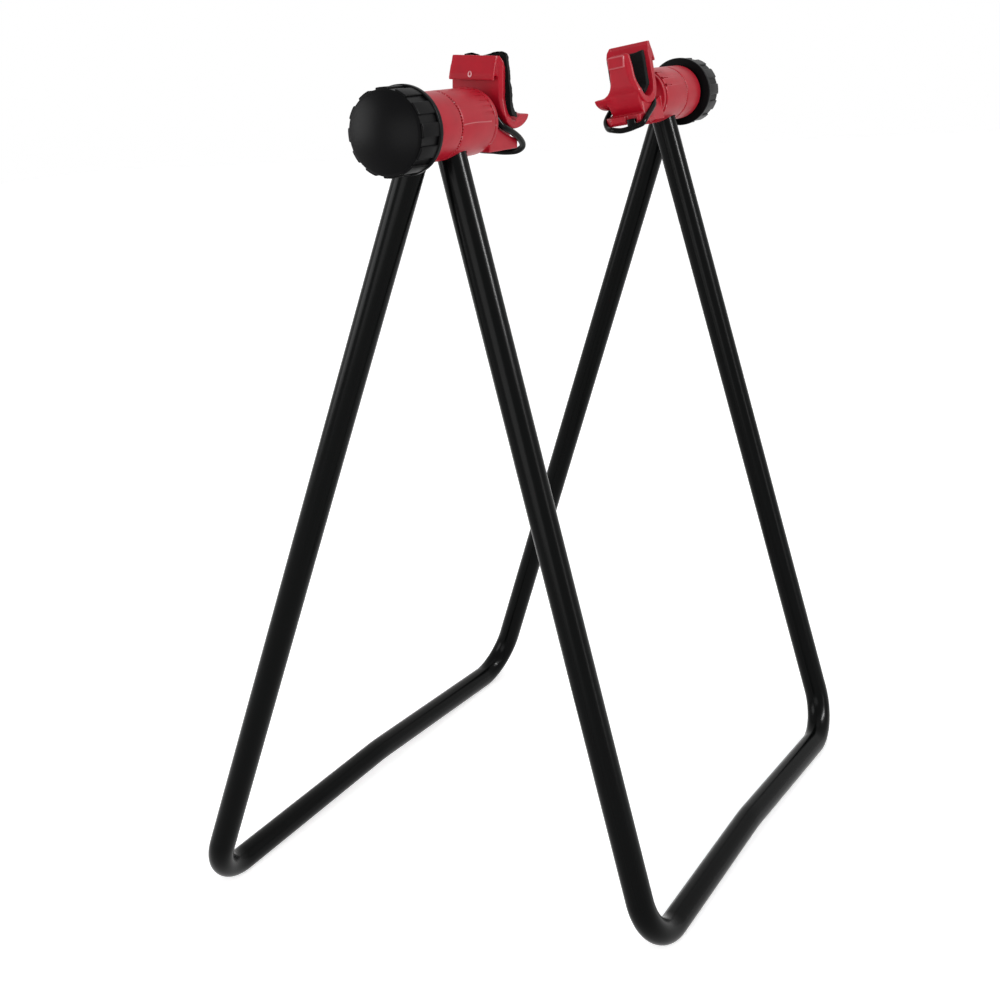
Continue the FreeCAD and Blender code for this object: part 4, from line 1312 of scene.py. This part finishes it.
def strip_shape(side):
    """Foam strip along the seat and up the inside of the plate, upright on the right side."""
    h = sizes("hook")
    soft = sizes("soft")
    seat_x = seat_centre(h)
    back = h.seat_radius - soft.pad_glue
    section = strip_section(soft)

    def across(share, z):
        low = level(STRIP_NOTCH_EDGE[side], z / MM)
        return (low + (level(STRIP_FIN_EDGE[side], z / MM) - low) * share) * MM

    rings = []
    steps = 16
    back_end, front_end = STRIP_END[side]
    for index in range(steps + 1):
        shrink = min(1.0, 0.45 + index * 0.3)
        ring = []
        for share, depth in section:
            wrap = back_end + (front_end - back_end) * depth
            turn = -math.radians(wrap) * (1 - index / steps)
            mid = h.seat_height + back * math.sin(turn)
            reach = back - depth * shrink * level(STRIP_THICKNESS[side], mid / MM) * MM
            z = h.seat_height + reach * math.sin(turn)
            ring.append((seat_x + reach * math.cos(turn), across(share, z), z))
        rings.append(ring)
    edge = 1.0 * MM
    climb = [(index / 30, 0.0, 0.0) for index in range(1, 31)]
    climb += [(1.0, edge * math.sin(math.radians(turn)), edge * (1 - math.cos(math.radians(turn))))
              for turn in (22.5, 45, 67.5, 90)]
    for rise_share, rise, inset in climb:
        ring = []
        for share, depth in section:
            top = level(STRIP_TOPS[side], across(share, h.plate_height) / MM) * MM - edge
            z = h.seat_height + (top - h.seat_height) * rise_share + rise
            thick = level(STRIP_THICKNESS[side], z / MM) * MM
            ring.append((seat_x + back - min(depth * thick, thick - inset), across(share, z), z))
        rings.append(ring)
    shape = loft(rings)
    shape.normal_update()
    rough = STRIP_ROUGHNESS[side]
    free_from = 0.6 * MM
    moves = []
    for vertex in shape.verts:
        spot = vertex.co / MM
        lump = sum(height * noise.noise(spot / width) for width, height in STRIP_LUMPS)
        held = min(max((seat_x + back - vertex.co.x) / free_from, 0.0), 1.0)
        moves.append(vertex.normal * (lump * rough * held * MM))
    for vertex, move in zip(shape.verts, moves):
        vertex.co += move
    return shape


class STAND_OT_soft_strips(bpy.types.Operator):
    """Adds the foam strips that keep the stays from being scratched"""
    bl_idname = "stand.soft_strips"
    bl_label = "Soft Strips"

    def execute(self, context):
        for side, tilt in hooks():
            piece = make_object(side + "_foam_strip", strip_shape(side), "foam_rubber")
            smooth(piece, 60)
            place(piece, side, tilt)
            dress(piece, side + "_hook_unit", side + "_stay_pad")
        return {"FINISHED"}


# Rubber rings

# Middle of each ring in the frame of the right hook, in millimetres, from the front of the shelf and round
RING_POINTS = {
    "right": [(66.3, -9.4, -15.8), (65.9, -5.0, -16.6), (65.8, 0.0, -16.8), (66.1, 5.2, -15.7),
              (69.6, 9.6, -14.4), (75.6, 13.0, -10.4), (83.2, 13.3, -5.9), (88.4, 12.4, -2.8),
              (92.3, 10.2, 1.4), (93.2, 6.7, 6.8), (93.2, 0.0, 9.5), (93.2, -6.8, 6.7),
              (92.6, -10.2, 0.6), (90.4, -11.6, -1.7), (87.4, -13.2, -3.4), (84.0, -14.1, -5.7),
              (79.2, -14.1, -8.3), (74.0, -14.0, -10.8), (70.0, -14.0, -12.8), (67.4, -12.9, -14.9)],
    "left": [(67.3, 10.4, -14.4), (66.1, 6.6, -16.3), (66.0, 0.4, -17.0), (66.2, -6.6, -16.9),
             (69.0, -11.8, -16.4), (75.0, -14.2, -14.4), (83.6, -14.5, -9.4), (88.6, -13.8, -3.8),
             (92.0, -10.9, 0.8), (93.2, -6.9, 6.6), (93.2, 0.0, 9.5), (93.2, 6.8, 6.7),
             (92.6, 10.2, 1.2), (90.6, 12.4, -2.3), (87.6, 13.2, -3.9), (83.8, 13.4, -5.2),
             (76.2, 13.3, -8.5), (69.8, 12.2, -12.0)],
}


def ring_lug(h, soft):
    """Lug of the ring that sits in the shelf's notch."""
    front = h.shelf_front - soft.lug_depth / 3
    low = -h.shelf_bottom - soft.ring_wire * 0.9
    half = soft.lug_width / 2
    lug = make_object("lug", box((front, -h.notch_middle - half, low),
                                 (front + soft.lug_depth, -h.notch_middle + half, low + soft.lug_height)),
                      "black_rubber")
    return modify(lug, "BEVEL", width=0.5 * MM, segments=3)


class STAND_OT_rubber_rings(bpy.types.Operator):
    """Adds the rubber rings that hang round the necks of the hooks"""
    bl_idname = "stand.rubber_rings"
    bl_label = "Rubber Rings"

    def execute(self, context):
        h = sizes("hook")
        soft = sizes("soft")
        for side, tilt in hooks():
            points = [Vector(point) * MM for point in RING_POINTS[side]]
            piece = line_piece(side + "_stretch_ring", points, True)
            grow(piece, rubber_ring_tree(), "black_rubber", Radius=soft.ring_wire / 2, Sides=32, Steps=12)
            lug = ring_lug(h, soft)
            modify(piece, "BOOLEAN", operation="UNION", solver="EXACT", object=lug)
            bpy.data.objects.remove(lug)
            smooth(piece, 50)
            place(piece, side, tilt)
            dress(piece, side + "_hook_unit", side + "_rubber_ring")
        return {"FINISHED"}


# Small steel parts


class STAND_OT_steel_parts(bpy.types.Operator):
    """Gives the screws, washers and nuts their zinc finish"""
    bl_idname = "stand.steel_parts"
    bl_label = "Steel Parts"

    def execute(self, context):
        for side in SIDES:
            for part in ("clamp_screw", "knob_washer", "hook_nut"):
                node = frame["nodes"][side + "_" + part]
                node.data.materials.clear()
                node.data.materials.append(finish("zinc_steel"))
        return {"FINISHED"}


# Stage


def seen_directly(tree):
    """1 for rays from the camera and for mirrored and clear rays, else 0."""
    path = add(tree, "ShaderNodeLightPath").outputs
    seen = path["Is Camera Ray"]
    for kind in ("Is Glossy Ray", "Is Transmission Ray"):
        seen = add(tree, "ShaderNodeMath", {0: seen, 1: path[kind]}, operation="MAXIMUM").outputs[0]
    return seen


def studio_world():
    """Even pale light from all round, pure white where the camera looks past the floor."""
    world = bpy.data.worlds.new("studio")
    bpy.context.scene.world = world
    world.use_nodes = True
    tree = world.node_tree
    tree.nodes.clear()
    seen = seen_directly(tree)
    lit = add(tree, "ShaderNodeBackground", {"Color": (1, 1, 1, 1), "Strength": 0.58})
    white = add(tree, "ShaderNodeBackground", {"Color": (1, 1, 1, 1), "Strength": 1.0})
    mix = add(tree, "ShaderNodeMixShader", {0: seen, 1: lit.outputs[0], 2: white.outputs[0]})
    add(tree, "ShaderNodeOutputWorld", {"Surface": mix.outputs[0]})


def studio_floor():
    """Plain pale floor: nearly white to the camera, with the soft shadow of the stand."""
    material, tree = new_material("pale_studio_floor")
    seen = seen_directly(tree)
    paint = add(tree, "ShaderNodeBsdfDiffuse", {"Color": linear(sizes("finish").floor), "Roughness": 1.0})
    glow = add(tree, "ShaderNodeEmission", {"Color": (1, 1, 1, 1), "Strength": 0.55})
    both = add(tree, "ShaderNodeAddShader", {0: paint.outputs[0], 1: glow.outputs[0]})
    mix = add(tree, "ShaderNodeMixShader", {0: seen, 1: paint.outputs[0], 2: both.outputs[0]})
    add(tree, "ShaderNodeOutputMaterial", {"Surface": mix.outputs[0]})
    mesh = bpy.data.meshes.new("studio_floor")
    half = 6.0
    corners = [(-half, -half, 0), (half, -half, 0), (half, half, 0), (-half, half, 0)]
    mesh.from_pydata(corners, [], [(0, 1, 2, 3)])
    floor = linked("studio_floor", mesh)
    mesh.materials.append(material)


def soft_light(name, spot, target, width, height, power, shine_only=False):
    """Rectangular soft light that faces a point; one for shine only is seen in gloss and lights nothing."""
    data = bpy.data.lights.new(name, "AREA")
    data.shape = "RECTANGLE"
    data.size, data.size_y, data.energy = width, height, power
    lamp = linked(name, data)
    lamp.location = spot
    lamp.rotation_euler = (Vector(target) - Vector(spot)).to_track_quat("-Z", "Y").to_euler()
    lamp.visible_camera = False
    lamp.visible_diffuse = not shine_only


class STAND_OT_stage(bpy.types.Operator):
    """Adds the floor, the lights and the camera"""
    bl_idname = "stand.stage"
    bl_label = "Stage"

    def execute(self, context):
        stage = sizes("stage")
        studio_world()
        studio_floor()
        middle = (0.0, 0.0, HEAD.z * 0.7)
        heads = (0.0, 0.0, HEAD.z)
        left_dome = (-0.16, 0.0, HEAD.z)
        soft_light("key_light", (-1.4, -0.1, 0.35), heads, 0.9, 0.7, 7)
        soft_light("top_light", (0.1, -0.3, 1.6), middle, 1.2, 0.8, 2)
        soft_light("right_light", (0.0, -1.4, 0.5), middle, 0.2, 1.2, 5)
        soft_light("high_strip", (0.1, -1.1, 0.9), heads, 0.1, 0.7, 36, shine_only=True)
        soft_light("dome_light", (-0.76, 0.96, 0.6), left_dome, 0.7, 0.7, 9, shine_only=True)
        data = bpy.data.cameras.new("camera")
        data.sensor_width = 36.0
        data.lens = stage.lens
        data.clip_start, data.clip_end = 0.01, 50.0
        camera = linked("camera", data)
        camera.location = stage.spot
        upright = Vector(stage.look).to_track_quat("-Z", "Y")
        camera.rotation_euler = (upright.to_matrix() @ Matrix.Rotation(stage.roll, 3, "Z")).to_euler()
        context.scene.camera = camera
        context.scene.view_settings.view_transform = "Standard"
        return {"FINISHED"}


class STAND_PT_panel(bpy.types.Panel):
    """Lists the pieces of the stand"""
    bl_label = "Bicycle Stand"
    bl_idname = "STAND_PT_panel"
    bl_space_type = "VIEW_3D"
    bl_region_type = "UI"
    bl_category = "Bicycle Stand"

    def draw(self, context):
        for operator in OPERATORS:
            self.layout.operator(operator.bl_idname)


OPERATORS = (
    STAND_OT_stage,
    STAND_OT_tube_frames,
    STAND_OT_collars,
    STAND_OT_knobs,
    STAND_OT_hooks,
    STAND_OT_soft_strips,
    STAND_OT_rubber_rings,
    STAND_OT_steel_parts,
)


def register():
    """Registers the property groups, operators and panel."""
    for name, group in GROUPS.items():
        bpy.utils.register_class(group)
        setattr(bpy.types.Scene, name, PointerProperty(type=group))
    for operator in OPERATORS:
        bpy.utils.register_class(operator)
    bpy.utils.register_class(STAND_PT_panel)


def unregister():
    """Takes everything out again."""
    bpy.utils.unregister_class(STAND_PT_panel)
    for operator in reversed(OPERATORS):
        bpy.utils.unregister_class(operator)
    for name, group in reversed(list(GROUPS.items())):
        delattr(bpy.types.Scene, name)
        bpy.utils.unregister_class(group)


def main():
    """Builds every piece in order."""
    register()
    for operator in OPERATORS:
        getattr(bpy.ops.stand, operator.bl_idname.split(".")[1])()


if __name__ == "__main__":
    main()
